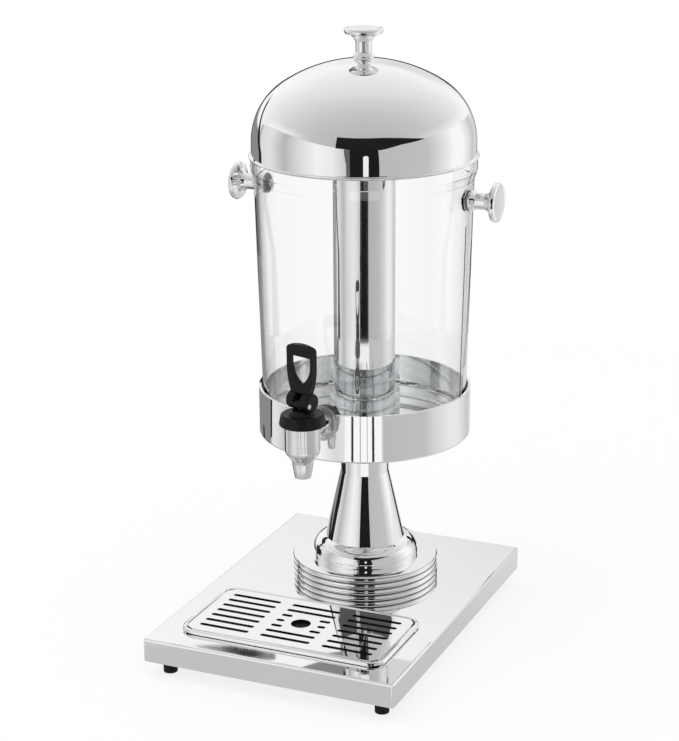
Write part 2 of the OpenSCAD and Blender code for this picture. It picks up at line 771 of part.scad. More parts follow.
// Clear container: tapered wall, rim band, raised floor with the ice tube's collar, bosses and holes
module vessel() {
  inner = vessel_wall;
  color(clear) difference() {
    union() {
      on_axis(z_foot) rotate_extrude() polygon([
        [foot_r - inner, 0], [foot_r - foot_edge, 0], [wall_r(foot_edge), foot_edge],
        [wall_top_r, slope_at], [rim_r, slope_at + rim_slope_h], [rim_r, vessel_h],
        [rim_r - inner, vessel_h], [rim_r - inner, slope_at + rim_slope_h],
        [wall_top_r - inner, slope_at], [wall_r(floor_at) - inner, floor_at],
        [collar_out_r, floor_at], [collar_out_r, floor_at + collar_h],
        [collar_in_r, floor_at + collar_h], [collar_in_r, floor_at], [0, floor_at],
        [0, vessel_foot_h], [wall_r(vessel_foot_h) - inner, vessel_foot_h]
      ]);
      along_shank(boss_head_r) {
        cylinder(r = tap_boss_r, h = boss_seat_r - boss_head_r);
        cylinder(d = lock_nut_d, h = vessel_wall * 0.8);
      }
      for (side = [-1, 1]) along_knob(side, knob_head_r)
        cylinder(r = knob_boss_r, h = knob_seat_r - knob_head_r);
    }
    along_shank(boss_head_r - past)
      cylinder(r = shank_r + hole_gap, h = boss_seat_r - boss_head_r + 2 * past);
    for (side = [-1, 1]) along_knob(side, knob_head_r - past)
      cylinder(r = knob_hole_r, h = knob_seat_r - knob_head_r + 2 * past);
  }
}

module left_knob() {
  color(bright) along_knob(-1, knob_seat_r + knob_gasket_t) knob();
}

module right_knob() {
  color(bright) along_knob(1, knob_seat_r + knob_gasket_t) knob();
}

module knob_gaskets() {
  color(pale) for (side = [-1, 1]) along_knob(side, knob_seat_r)
    ring(knob_foot_d / 2, knob_hole_r, knob_gasket_t);
}

module knob_screws() {
  shank_h = knob_seat_r + knob_gasket_t - knob_head_r + knob_bore_h * 0.8;
  color(steel) for (side = [-1, 1]) along_knob(side, knob_head_r) screw(knob_screw_d, shank_h);
}

// Side of the tap body from the spout's end up to its thread, with an ogee between body and spout
module tap_outline() {
  ogee_in = tap_r - spout_top_d / 2;
  both_r = (ogee_h * ogee_h + ogee_in * ogee_in) / (2 * ogee_in);
  high_r = both_r * ogee_share;
  low_r = both_r - high_r;
  high_h = ogee_h * ogee_share;
  low_h = ogee_h - high_h;
  body_at = z_body_low - z_spout;
  square([spout_end_d / 2, spout_h]);
  polygon([[0, 0], [spout_end_d / 2, 0], [spout_top_d / 2, spout_h], [0, spout_h]]);
  difference() {
    translate([0, spout_h]) square([tap_r - ogee_in * ogee_share, low_h]);
    translate([spout_top_d / 2 + low_r, spout_h]) circle(low_r);
  }
  intersection() {
    translate([0, spout_h + low_h]) square([tap_r, high_h]);
    union() {
      translate([tap_r - high_r, body_at]) circle(high_r);
      square([tap_r - high_r, body_at]);
    }
  }
  translate([0, body_at]) square([tap_r, z_bonnet - z_body_low]);
  translate([0, z_bonnet - z_spout]) square([thread_r, z_body_top - z_bonnet]);
}

// Chromed tap body with its shank, valve chamber and spout
module tap_body() {
  color(bright) difference() {
    union() {
      on_tap(z_spout) rotate_extrude() tap_outline();
      along_shank(shank_end_r) cylinder(r = shank_r, h = tap_axis_r - shank_end_r);
    }
    on_tap(z_seat) cylinder(r = chamber_r, h = z_body_top - z_seat + past);
    on_tap(z_spout - past) cylinder(r = outlet_r, h = z_seat - z_spout + 2 * past);
    along_shank(shank_end_r - past) cylinder(d = inlet_d, h = tap_axis_r - shank_end_r + past);
  }
}

module tap_back_nut() {
  color(bright) along_shank(nut_seat_r) rotate([0, 0, 30])
    hex_nut(back_nut_af, shank_d + 2 * run_gap, back_nut_t);
}

// Pale washer outside the cup, with a spigot through the cup's notch to the container
module tap_gasket() {
  bore_r = shank_r + run_gap;
  color(pale) {
    along_shank(boss_seat_r) ring(gasket_spigot_r, bore_r, washer_seat_r - boss_seat_r);
    along_shank(washer_seat_r) ring(tap_washer_d / 2, bore_r, tap_washer_t);
  }
}

module tap_inner_gasket() {
  color(pale) along_shank(lock_seat_r) ring(lock_nut_d / 2, shank_r + run_gap, inner_gasket_t);
}

module tap_lock_nut() {
  color(black) along_shank(lock_seat_r - lock_nut_t)
    hex_nut(lock_nut_d * cos(30), shank_d + 2 * run_gap, lock_nut_t);
}

// Side of the bonnet: rounded lower edge, leaning side, bevelled top and the lever's collar
module bonnet_outline() {
  bonnet_r = bonnet_d / 2;
  bevel = bonnet_top_t / 2;
  edge_at = bonnet_r - bonnet_edge_r;
  square([edge_at, bonnet_edge_r]);
  translate([edge_at, bonnet_edge_r]) circle(bonnet_edge_r);
  polygon([
    [0, bonnet_edge_r], [bonnet_r, bonnet_edge_r], [bonnet_r - bonnet_taper, bonnet_h - bevel],
    [bonnet_r - bonnet_taper - bevel, bonnet_h], [collar_base_d / 2, bonnet_h],
    [collar_top_d / 2, bonnet_h + collar_rise], [0, bonnet_h + collar_rise]
  ]);
}

// Bonnet: a screwed cap with finger flats that lean with its side
module tap_bonnet() {
  flat_at = bonnet_d / 2 - bonnet_flat_depth;
  lean = atan2(bonnet_taper, bonnet_h);
  color(black) on_tap(z_bonnet) difference() {
    rotate_extrude() bonnet_outline();
    for (flat = [0 : bonnet_flats - 1]) rotate([0, 0, flat * 360 / bonnet_flats])
      translate([flat_at, -bonnet_d, 0]) rotate([0, -lean, 0])
        translate([0, 0, -bonnet_h]) cube([bonnet_d, 2 * bonnet_d, 3 * bonnet_h]);
    translate([0, 0, -past]) cylinder(r = thread_r + run_gap, h = z_bonnet_under - z_bonnet + past);
    cylinder(r = stem_r + run_gap, h = bonnet_h + collar_rise + past);
  }
}

module bonnet_seal() {
  color(pale) on_tap(z_body_top) ring(thread_r - run_gap, chamber_r, seal_t);
}

// Rubber seat cup: a bell that closes the outlet, with a socket for the stem
module tap_seat() {
  lip_h = seat_h / 3;
  lip_r = seat_d / 2;
  body_r = lip_r * 0.72;
  color(pale) on_tap(z_valve) rotate_extrude() polygon([
    [0, 0], [lip_r, 0], [lip_r, lip_h / 2], [body_r, lip_h], [body_r, seat_h],
    [stem_r + run_gap, seat_h], [stem_r + run_gap, seat_h - seat_socket_h],
    [0, seat_h - seat_socket_h]
  ]);
}

// Stem from the seat cup to a head that the lever's pin passes through
module tap_stem() {
  z_low = z_valve_top - seat_socket_h + rest_gap;
  color(steel) difference() {
    union() {
      on_tap(z_low) cylinder(r = stem_r, h = z_pin - z_low);
      at_hub() translate([-stem_head_w / 2, -pin_ahead, -pin_below]) rotate([90, 0, 90]) {
        cylinder(r = head_r, h = stem_head_w);
        translate([0, -head_r, 0]) cube([pin_ahead + stem_r, 2 * head_r, stem_head_w]);
      }
    }
    at_hub() translate([-stem_head_w, -pin_ahead, -pin_below]) rotate([90, 0, 90])
      cylinder(r = pin_d / 2 + run_gap, h = 2 * stem_head_w);
  }
}

// Point of the spring's centre line at a share of its length, and of its tube round that line
function coil_turn(t) = 360 * spring_turns * t;
function coil_point(t, side) =
  let (
    around = 360 * side / spring_sides,
    out = spring_d / 2 + spring_wire_d / 2 * cos(around),
    up = spring_low + (spring_high - spring_low) * t + spring_wire_d / 2 * sin(around)
  )
  [out * cos(coil_turn(t)), out * sin(coil_turn(t)), up];

module tap_spring() {
  rings = spring_turns * spring_steps;
  last = rings * spring_sides;
  points = [
    for (i = [0 : rings], s = [0 : spring_sides - 1]) coil_point(i / rings, s)
  ];
  sides = [
    for (i = [0 : rings - 1], s = [0 : spring_sides - 1])
      let (a = i * spring_sides, b = a + spring_sides, next = (s + 1) % spring_sides)
        each [[a + s, a + next, b + next], [a + s, b + next, b + s]]
  ];
  low_cap = [for (s = [1 : spring_sides - 2]) [0, s + 1, s]];
  high_cap = [for (s = [1 : spring_sides - 2]) [last, last + s, last + s + 1]];
  color(steel) on_tap(0) polyhedron(points, concat(sides, low_cap, high_cap));
}

// Hair by which the lever's arcs and straight sides cross where they run into each other
blend = 0.02;

// Window of the lever: straight sides, then two arcs that meet in a rounded point below
module lever_window() {
  arc_x = window_arc_r - window_w / 2;
  arc_at = window_top - window_side_h;
  point_low = window_tip_at * window_arc_r / (window_arc_r - window_tip_r);
  lap = window_side_h / 4;
  translate([-window_w / 2 + blend, arc_at - lap]) square([window_w - 2 * blend, window_side_h + lap]);
  intersection() {
    translate([-window_w, arc_at - point_low]) square([2 * window_w, point_low + lap]);
    translate([arc_x, arc_at]) circle(window_arc_r);
    translate([-arc_x, arc_at]) circle(window_arc_r);
  }
  translate([0, arc_at - window_tip_at]) circle(window_tip_r + blend);
}

// Top of the lever: straight sides, rounded corners and an arched edge that runs into them
module lever_top() {
  corner_x = lever_top_w / 2 - lever_corner_r;
  lean = asin(corner_x / (lever_crown_r - lever_corner_r));
  crown_at = lever_h - lever_crown_r;
  corner_at = crown_at + (lever_crown_r - lever_corner_r) * cos(lean);
  reach = 2 * lever_crown_r;
  lap = lever_side_h / 8;
  translate([-lever_top_w / 2 + blend, side_low - lap])
    square([lever_top_w - 2 * blend, corner_at - side_low + lap]);
  for (x = [-1, 1]) translate([x * corner_x, corner_at]) circle(lever_corner_r + blend / 2);
  intersection() {
    translate([0, crown_at]) circle(lever_crown_r);
    polygon([
      [0, crown_at], [reach * sin(lean), crown_at + reach * cos(lean)],
      [-reach * sin(lean), crown_at + reach * cos(lean)]
    ]);
    translate([-lever_top_w, side_low]) square([2 * lever_top_w, lever_h]);
  }
}

// Face of the lever above the hub: its sides curve in to the waist and flare to the hub
module lever_face() {
  half_top = lever_top_w / 2;
  half_waist = lever_waist_w / 2;
  inset = half_top - half_waist;
  taper_h = side_low - lever_waist_h;
  taper_r = (taper_h * taper_h + inset * inset) / (2 * inset);
  hub_half = hub_w / 2 - hub_edge_r;
  // The curved sides and the flare run on past the waist, each inside the other
  overrun = lever_waist_h / 5;
  flare_h = lever_waist_h + overrun;
  flare_half = hub_half + (half_waist - hub_half) * flare_h / lever_waist_h;
  difference() {
    union() {
      lever_top();
      intersection() {
        translate([half_top - taper_r, side_low]) circle(taper_r);
        translate([taper_r - half_top, side_low]) circle(taper_r);
        translate([-lever_top_w, lever_waist_h - overrun])
          square([2 * lever_top_w, taper_h + 2 * overrun]);
      }
      polygon([[-hub_half, 0], [hub_half, 0], [flare_half, flare_h], [-flare_half, flare_h]]);
    }
    lever_window();
  }
}

// Round hub about X with rounded ends
module lever_hub() {
  edge_at = hub_r - hub_edge_r;
  translate([-hub_w / 2, 0, 0]) rotate([0, 90, 0]) rotate_extrude() {
    square([edge_at, hub_w]);
    translate([0, hub_edge_r]) square([hub_r, hub_w - 2 * hub_edge_r]);
    for (x = [hub_edge_r, hub_w - hub_edge_r]) translate([edge_at, x]) circle(hub_edge_r);
  }
}

// Slot for the stem's head, wider below the pin so that the stem clears it at full tilt
module lever_slot() {
  w = stem_head_w + 2 * cheek_gap;
  translate([-w / 2, -pin_ahead, -pin_below]) rotate([0, 90, 0]) {
    cylinder(r = slot_reach, h = w);
    intersection() {
      cylinder(r = slot_low_reach, h = w);
      translate([0, -slot_low_reach, 0]) cube([slot_low_reach, 2 * slot_low_reach, w]);
    }
  }
}

// Lever: a paddle on a round hub, slotted for the stem's head and bored for the pin
module tap_lever() {
  color(black) at_hub() difference() {
    union() {
      translate([0, lever_t / 2, 0]) rotate([90, 0, 0]) linear_extrude(lever_t) lever_face();
      lever_hub();
    }
    lever_slot();
    translate([-hub_w, -pin_ahead, -pin_below]) rotate([0, 90, 0])
      cylinder(d = pin_d, h = 2 * hub_w);
  }
}

module lever_pin() {
  color(steel) at_hub() translate([-hub_w / 2, -pin_ahead, -pin_below]) rotate([0, 90, 0])
    cylinder(d = pin_d, h = hub_w);
}

// Ice tube: a closed steel tube with a bead rolled on its mouth
module ice_tube() {
  bead_r = ice_tube_bead_d / 2;
  color(bright) on_axis(z_tube) rotate_extrude() {
    square([tube_r, ice_tube_wall]);
    translate([tube_r - ice_tube_wall, 0]) square([ice_tube_wall, tube_h - bead_r]);
    translate([tube_r - ice_tube_wall + bead_r, tube_h - bead_r]) circle(bead_r);
  }
}

// Half outline of the dome set in by a sheet thickness: a crown arc and a tighter shoulder arc
module dome_outline(set_in) {
  lean = atan2(lid_skirt_h - crown_at, shoulder_in);
  reach = 2 * lid_h;
  square([skirt_r - set_in, lid_skirt_h]);
  intersection() {
    translate([0, crown_at]) circle(crown_r - set_in);
    polygon([
      [0, lid_skirt_h], [shoulder_in, lid_skirt_h],
      [shoulder_in + reach * cos(lean), lid_skirt_h + reach * sin(lean)], [0, reach]
    ]);
  }
  intersection() {
    translate([shoulder_in, lid_skirt_h]) circle(lid_shoulder_r - set_in);
    translate([0, lid_skirt_h]) square([skirt_r, lid_h]);
  }
}

// Spun lid with a rolled flange that rests on the container's rim
module lid_dome() {
  lip_r = lid_flange_t / 2;
  color(bright) on_axis(z_lid) rotate_extrude() difference() {
    union() {
      dome_outline(0);
      square([flange_r - lip_r, lid_flange_t]);
      translate([flange_r - lip_r, lip_r]) circle(lip_r);
    }
    translate([0, -past]) square([skirt_r - lid_sheet, lid_skirt_h + past]);
    dome_outline(lid_sheet);
    translate([-past, 0]) square([past + knob_hole_r, lid_h + past]);
  }
}

// Ring welded inside the lid's skirt, which locates the lid in the container's rim
module lid_ring() {
  inner_r = lid_ring_r - lid_sheet;
  color(steel) on_axis(z_lid - lid_ring_h) rotate_extrude() polygon([
    [inner_r, 0], [lid_ring_r, 0], [lid_ring_r, lid_ring_h + rest_gap],
    [skirt_r - lid_sheet, lid_ring_h + rest_gap],
    [skirt_r - lid_sheet, lid_ring_h + rest_gap + lid_sheet],
    [inner_r, lid_ring_h + rest_gap + lid_sheet]
  ]);
}

// Lid knob, its foot hollowed to the lid's crown
module lid_knob() {
  foot_sag = crown_sag(crown_r, knob_foot_d / 2);
  color(bright) difference() {
    on_axis(z_apex - foot_sag) knob();
    on_axis(z_lid + crown_at) sphere(crown_r);
  }
}

module lid_knob_screw() {
  color(steel) on_axis(z_lid_washer) screw(knob_screw_d, z_apex - z_lid_washer + knob_bore_h * 0.7);
}

module lid_knob_washer() {
  color(steel) on_axis(z_lid_washer) ring(lid_washer_r, knob_hole_r, lid_washer_t);
}

base_pan();
foot_pads();
foot_screws();
foot_nuts();
plinth();
column_foot();
column_cone();
tie_rod();
tie_rod_nuts();
tie_rod_washers();
cup();
drip_tray();
drip_grille();
vessel();
left_knob();
right_knob();
knob_gaskets();
knob_screws();
tap_body();
tap_back_nut();
tap_gasket();
tap_inner_gasket();
tap_lock_nut();
tap_bonnet();
bonnet_seal();
tap_seat();
tap_stem();
tap_spring();
tap_lever();
lever_pin();
ice_tube();
lid_dome();
lid_ring();
lid_knob();
lid_knob_screw();
lid_knob_washer();
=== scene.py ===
# %% [markdown]
# # A juice dispenser, dressed for its portrait
# The solids of the dispenser come packed from CAD: every piece already has its true size and place.
# This lesson loads them as a fixed frame, sets the camera at the portrait's viewpoint, builds the
# white studio that polished steel needs around it, and then gives every piece its finish.

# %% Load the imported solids
import json
import math

import bmesh
import bpy
from mathutils import Matrix, Vector


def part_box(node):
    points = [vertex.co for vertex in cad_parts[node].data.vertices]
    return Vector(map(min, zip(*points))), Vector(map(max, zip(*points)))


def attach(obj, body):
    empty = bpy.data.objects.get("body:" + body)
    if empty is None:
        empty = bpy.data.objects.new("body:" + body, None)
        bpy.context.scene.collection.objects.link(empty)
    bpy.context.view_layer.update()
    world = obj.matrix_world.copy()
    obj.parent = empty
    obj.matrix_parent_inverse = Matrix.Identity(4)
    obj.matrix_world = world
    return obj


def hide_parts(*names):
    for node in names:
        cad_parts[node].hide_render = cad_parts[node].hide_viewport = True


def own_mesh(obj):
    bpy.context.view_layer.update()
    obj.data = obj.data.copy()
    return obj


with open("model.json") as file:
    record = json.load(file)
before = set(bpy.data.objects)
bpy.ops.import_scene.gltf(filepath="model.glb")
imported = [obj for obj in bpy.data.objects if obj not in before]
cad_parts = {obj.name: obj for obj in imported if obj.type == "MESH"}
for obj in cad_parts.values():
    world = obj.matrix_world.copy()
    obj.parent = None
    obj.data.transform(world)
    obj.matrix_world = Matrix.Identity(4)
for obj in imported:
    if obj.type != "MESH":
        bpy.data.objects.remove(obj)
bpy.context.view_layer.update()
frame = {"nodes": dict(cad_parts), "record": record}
nodes = frame["nodes"]
MM = 0.001

# %% [markdown]
# ## The camera
# The view is from a little to the right of the tap and above it, with a long lens. The yaw is measured
# from straight in front, the pitch is how far the lens looks down, and the roll is a very slight tilt.
# A camera can be turned by Euler angles, but a matrix built from its three directions is easier to
# check, so that is done here. Focal length and lens centre are in pixels, as they were measured.

# %% Camera
YAW = math.radians(23.6)
PITCH = math.radians(17.25)
ROLL = math.radians(-0.39)
STAND_BACK = 1883.56 * MM
EYE_HEIGHT = 869.92 * MM
IMAGE_W, IMAGE_H = 679, 741
FOCAL_PX = 2015.39
LENS_CENTRE_PX = (338.74, 358.44)
SENSOR_MM = 36
FAR_CLIP = 20

side = Vector((math.cos(YAW), math.sin(YAW), 0))
ahead = Vector((-math.sin(YAW) * math.cos(PITCH), math.cos(YAW) * math.cos(PITCH), -math.sin(PITCH)))
upward = side.cross(ahead)
side_rolled = side * math.cos(ROLL) + upward * math.sin(ROLL)
up_rolled = upward * math.cos(ROLL) - side * math.sin(ROLL)

lens = bpy.data.cameras.new("portrait_lens")
lens.sensor_fit = "HORIZONTAL"
lens.sensor_width = SENSOR_MM
lens.lens = FOCAL_PX / IMAGE_W * lens.sensor_width
lens.shift_x = (IMAGE_W / 2 - LENS_CENTRE_PX[0]) / IMAGE_W
lens.shift_y = (LENS_CENTRE_PX[1] - IMAGE_H / 2) / IMAGE_W
lens.clip_end = FAR_CLIP
camera = bpy.data.objects.new("portrait_camera", lens)
turn = Matrix((side_rolled, up_rolled, -ahead)).transposed().to_4x4()
eye = Vector((STAND_BACK * math.sin(YAW), -STAND_BACK * math.cos(YAW), EYE_HEIGHT))
camera.matrix_world = Matrix.Translation(eye) @ turn
bpy.context.scene.collection.objects.link(camera)
bpy.context.scene.camera = camera
bpy.context.scene.view_settings.view_transform = "Standard"
print("lens in mm:", round(lens.lens, 2))

# %% [markdown]
# ## Node helpers
# Every finish below is a small node tree. These helpers make a node, set its plain sockets and wire
# its linked ones in one call, so that each recipe reads from top to bottom. The Mix node keeps a set of
# sockets for each kind of data, so its colour sockets are picked by number.

# %% Nodes for numbers and vectors
def plug(tree, socket, value):
    """Wire a socket to another one, or set its plain value."""
    if isinstance(value, bpy.types.NodeSocket):
        tree.links.new(value, socket)
    else:
        socket.default_value = value


def add_node(tree, kind, inputs=None, **settings):
    node = tree.nodes.new(kind)
    for key, value in settings.items():
        setattr(node, key, value)
    for key, value in (inputs or {}).items():
        plug(tree, node.inputs[key], value)
    return node


def math_node(tree, operation, *values):
    return add_node(tree, "ShaderNodeMath", dict(enumerate(values)), operation=operation).outputs[0]


def vector_node(tree, operation, *values):
    node = add_node(tree, "ShaderNodeVectorMath", dict(enumerate(values)), operation=operation)
    return node.outputs["Value" if operation in ("DOT_PRODUCT", "LENGTH") else "Vector"]


# %% Nodes for colours and shaders
MIX_SHARE, MIX_FIRST, MIX_SECOND, MIX_RESULT = 0, 6, 7, 2


def plain(grey):
    return (grey, grey, grey, 1)


def mix_colour(tree, share, first, second):
    sockets = {MIX_SHARE: share, MIX_FIRST: first, MIX_SECOND: second}
    return add_node(tree, "ShaderNodeMix", sockets, data_type="RGBA").outputs[MIX_RESULT]


def grey_ramp(tree, position, stops):
    """Colour ramp of plain greys: stops are (place from 0 to 1, grey)."""
    ramp = add_node(tree, "ShaderNodeValToRGB", {"Fac": position})
    band = ramp.color_ramp
    while len(band.elements) < len(stops):
        band.elements.new(0.5)
    for element, (place, grey) in zip(band.elements, stops):
        element.position = place
        element.color = plain(grey)
    return ramp.outputs["Color"]


def emission(tree, colour):
    return add_node(tree, "ShaderNodeEmission", {"Color": colour, "Strength": 1.0})


def mix_shader(tree, share, first, second):
    return add_node(tree, "ShaderNodeMixShader", {0: share, 1: first.outputs[0], 2: second.outputs[0]})


def end_tree(tree, shader):
    add_node(tree, "ShaderNodeOutputMaterial", {"Surface": shader.outputs[0]})


# %% [markdown]
# ## The studio
# Polished steel has no colour of its own: it shows the room. The room here is a small white tent. A
# round wall of soft panels stands a metre away, with a dark gap in front for the camera, dark seams
# where the panels end, a dark board above the camera and a pale ceiling that gets lighter towards the
# back. A world shader alone would put all this at infinity, and low pieces would then mirror the same
# strip as high ones, so the wall and the floor are real meshes.
# Only rays that have met a mirror see the room. Rays straight from the camera, or only through clear
# plastic, see plain white, and rays from matt surfaces an even white, so that colours render as written.

# %% Helpers for directions
AXIS_Y = 65 * MM
TO_CAMERA = (math.sin(YAW), -math.cos(YAW), 0)
TO_RIGHT = tuple(side)
FULL_TURN = 2 * math.pi


def turn_share(tree, vector):
    """Angle round the upright axis, from 0 behind, 0.5 at the camera, to 1 behind again."""
    to_right = vector_node(tree, "DOT_PRODUCT", vector, TO_RIGHT)
    to_camera = vector_node(tree, "DOT_PRODUCT", vector, TO_CAMERA)
    angle = math_node(tree, "ARCTAN2", to_right, to_camera)
    return math_node(tree, "MULTIPLY_ADD", angle, 1 / FULL_TURN, 0.5)


def by_degrees(stops):
    """Places on a ramp from degrees to the right of the camera."""
    return [(degrees / 360 + 0.5, grey) for degrees, grey in stops]


def step_up(tree, value, at, soft):
    """From 0 to 1 at a value, softened to both sides."""
    limits = {"Value": value, "From Min": at - soft, "From Max": at + soft}
    return add_node(tree, "ShaderNodeMapRange", limits).outputs[0]


# %% Helpers for rays that met a mirror
ONE_MIRROR = 0.5
TWO_MIRRORS = 1.5
NO_PLASTIC = 0.5


def light_path(tree, fact):
    return add_node(tree, "ShaderNodeLightPath").outputs[fact]


def met_mirror(tree, mirrors=ONE_MIRROR):
    return math_node(tree, "GREATER_THAN", light_path(tree, "Glossy Depth"), mirrors)


# %% World: ceiling and back corners
CEILING_GREYS = [(0, 0.48), (0.3, 0.58), (0.55, 0.7), (0.8, 0.86), (0.95, 1.0), (1, 1.0)]
CORNER_GREYS = by_degrees([
    (-180, 0.26), (-128, 0.26), (-120, 0.5), (140, 0.5), (145, 0.7), (180, 0.7)])
HORIZON_SOFT = 0.02
world = bpy.data.worlds.new("white_tent")
bpy.context.scene.world = world
world.use_nodes = True
sky = world.node_tree
sky.nodes.clear()
ray = add_node(sky, "ShaderNodeTexCoord").outputs["Generated"]
height = add_node(sky, "ShaderNodeSeparateXYZ", {0: ray}).outputs["Z"]
around_sky = turn_share(sky, ray)
backness = math_node(sky, "MULTIPLY_ADD", vector_node(sky, "DOT_PRODUCT", ray, TO_CAMERA), -0.5, 0.5)
room = mix_colour(
    sky, step_up(sky, height, 0, HORIZON_SOFT),
    grey_ramp(sky, around_sky, CORNER_GREYS), grey_ramp(sky, backness, CEILING_GREYS))
print("ceiling from", CEILING_GREYS[0][1], "over the camera to", CEILING_GREYS[-1][1], "behind")

# %% World: the back is lit from the left, so the base's polished top gets darker towards the right
BACK_FADE = by_degrees([
    (-180, 0.88), (-172, 0.96), (-160, 1), (155, 1), (165, 0.8), (172, 0.72), (180, 0.88)])
FADE_TOP = math.sin(math.radians(25))
FADE_SOFT = 0.06
fade = mix_colour(
    sky, step_up(sky, height, FADE_TOP, FADE_SOFT), grey_ramp(sky, around_sky, BACK_FADE), plain(1))
room = vector_node(sky, "MULTIPLY", room, fade)
print("the back fades below", round(FADE_TOP, 3))

# %% World: a dark gap low behind draws the thin black line along the lid's upper edge
GAP_BEHIND = by_degrees([(-180, 1), (-168, 1), (-164, 0), (164, 0), (168, 1), (180, 1)])
GAP_LOW = math.sin(math.radians(-15.5))
GAP_HIGH = math.sin(math.radians(4))
GAP_SOFT = 0.01
GAP_GREY = 0.015
low_gap = math_node(
    sky, "SUBTRACT", step_up(sky, height, GAP_LOW, GAP_SOFT), step_up(sky, height, GAP_HIGH, GAP_SOFT))
in_gap = math_node(sky, "MULTIPLY", low_gap, grey_ramp(sky, around_sky, GAP_BEHIND))
room = mix_colour(sky, in_gap, room, plain(GAP_GREY))
print("gap between", round(GAP_LOW, 3), "and", round(GAP_HIGH, 3))

# %% World: plain white for the camera and even white for matt surfaces
seen = mix_colour(sky, met_mirror(sky), plain(1), room)
light = mix_colour(sky, light_path(sky, "Is Diffuse Ray"), seen, plain(1))
background = add_node(sky, "ShaderNodeBackground", {"Color": light, "Strength": 1.0})
add_node(sky, "ShaderNodeOutputWorld", {"Surface": background.outputs[0]})
print("world nodes:", len(sky.nodes))

# %% [markdown]
# ## Boards of the studio
# A studio is panels, flags and paper. Each is a thin mesh whose material glows in a plain grey and only
# for rays from a mirror, so no board lights the dispenser or shows in the picture itself. Crisp things,
# such as the gap that the camera looks through, the seams and the lamp, are patches just in front of
# the wall or just over the floor: a patch has a sharp edge of any slant, which a ramp round the axis
# can't give. All places are given as degrees to the right of the camera, round the container's axis.

# %% Helpers for studio boards
def studio_mesh(name, verts, faces, material):
    mesh = bpy.data.meshes.new(name)
    mesh.from_pydata(verts, [], faces)
    mesh.materials.append(material)
    board = bpy.data.objects.new(name, mesh)
    bpy.context.scene.collection.objects.link(board)
    board.visible_diffuse = False
    board.visible_shadow = False
    print("studio:", name, "faces:", len(faces))
    return board


def round_spot(radius, degrees, z):
    """Point at an angle to the right of the camera, on a circle round the container's axis."""
    turn = math.radians(degrees)
    out = Vector(TO_CAMERA) * math.cos(turn) + side * math.sin(turn)
    return (out.x * radius, out.y * radius + AXIS_Y, z)


def strip(rows, columns=1):
    """Quads between neighbouring rows of columns + 1 points."""
    wide = columns + 1
    return [(i * wide + k, (i + 1) * wide + k, (i + 1) * wide + k + 1, i * wide + k + 1)
            for i in range(len(rows) - 1) for k in range(columns)]


def fan(left, right, columns):
    """Degrees from left to right in even steps, so that a wide patch follows the round wall."""
    return [left + (right - left) * k / columns for k in range(columns + 1)]


def between(table, place):
    """Height at a place, along straight lines between the rows of a table."""
    for (a, low), (b, high) in zip(table, table[1:]):
        if a <= place <= b:
            return low + (high - low) * (place - a) / (b - a)
    return table[-1][1]


# %% Helpers for what glows in mirrors only
def glow(name):
    made = bpy.data.materials.new(name)
    made.use_nodes = True
    made.cycles.emission_sampling = "NONE"
    made.node_tree.nodes.clear()
    return made, made.node_tree


def from_axis(tree):
    spot = add_node(tree, "ShaderNodeNewGeometry").outputs["Position"]
    return vector_node(tree, "SUBTRACT", spot, (0, AXIS_Y, 0))


def only_in_mirrors(tree, colour, share=None):
    """Emission that only rays from a mirror see; share fades it out."""
    shown_share = met_mirror(tree)
    if share is not None:
        shown_share = math_node(tree, "MULTIPLY", shown_share, share)
    clear = add_node(tree, "ShaderNodeBsdfTransparent")
    end_tree(tree, mix_shader(tree, shown_share, clear, emission(tree, colour)))


def grey_glow(name, grey, through=True, reach=None, twice=False):
    """Plain grey. With through off, rays that came through clear plastic don't see it; with a reach, only
    mirrors between those two distances do; with twice on, only a mirror seen in a mirror shows it."""
    made, tree = glow(name)
    share = met_mirror(tree, TWO_MIRRORS if twice else ONE_MIRROR)
    limits = []
    if not through:
        limits.append(math_node(tree, "LESS_THAN", light_path(tree, "Transmission Depth"), NO_PLASTIC))
    if reach:
        length = light_path(tree, "Ray Length")
        limits.append(math_node(tree, "GREATER_THAN", length, reach[0]))
        limits.append(math_node(tree, "LESS_THAN", length, reach[1]))
    for limit in limits:
        share = math_node(tree, "MULTIPLY", share, limit)
    only_in_mirrors(tree, plain(grey), share)
    return made


PATCH_COLUMNS = 8
FLOOR_LIFT = 0.001


def wall_patch(name, grey, radius, rows, **limits):
    """Upright patch at a radius: rows of (height, left degrees, right degrees)."""
    verts = [round_spot(radius, t, z) for z, a, b in rows for t in fan(a, b, PATCH_COLUMNS)]
    studio_mesh(name, verts, strip(rows, PATCH_COLUMNS), grey_glow(name, grey, **limits))


def floor_patch(name, grey, rows):
    """Patch on the floor: rows of (distance from the axis, left degrees, right degrees)."""
    verts = [round_spot(r, t, FLOOR_LIFT) for r, a, b in rows for t in fan(a, b, PATCH_COLUMNS)]
    studio_mesh(name, verts, strip(rows, PATCH_COLUMNS), grey_glow(name, grey))


# %% [markdown]
# ## Wall of panels
# The wall's brightness changes with the angle round the dispenser, and so does the height of its top
# edge, because flat panels stand closer in their middle. One strip of quads with a grey ramp round the
# axis does for all the panels. Over the side panels a second strip fades upwards, by a share that is
# kept on its points, as light spills over a panel's top.

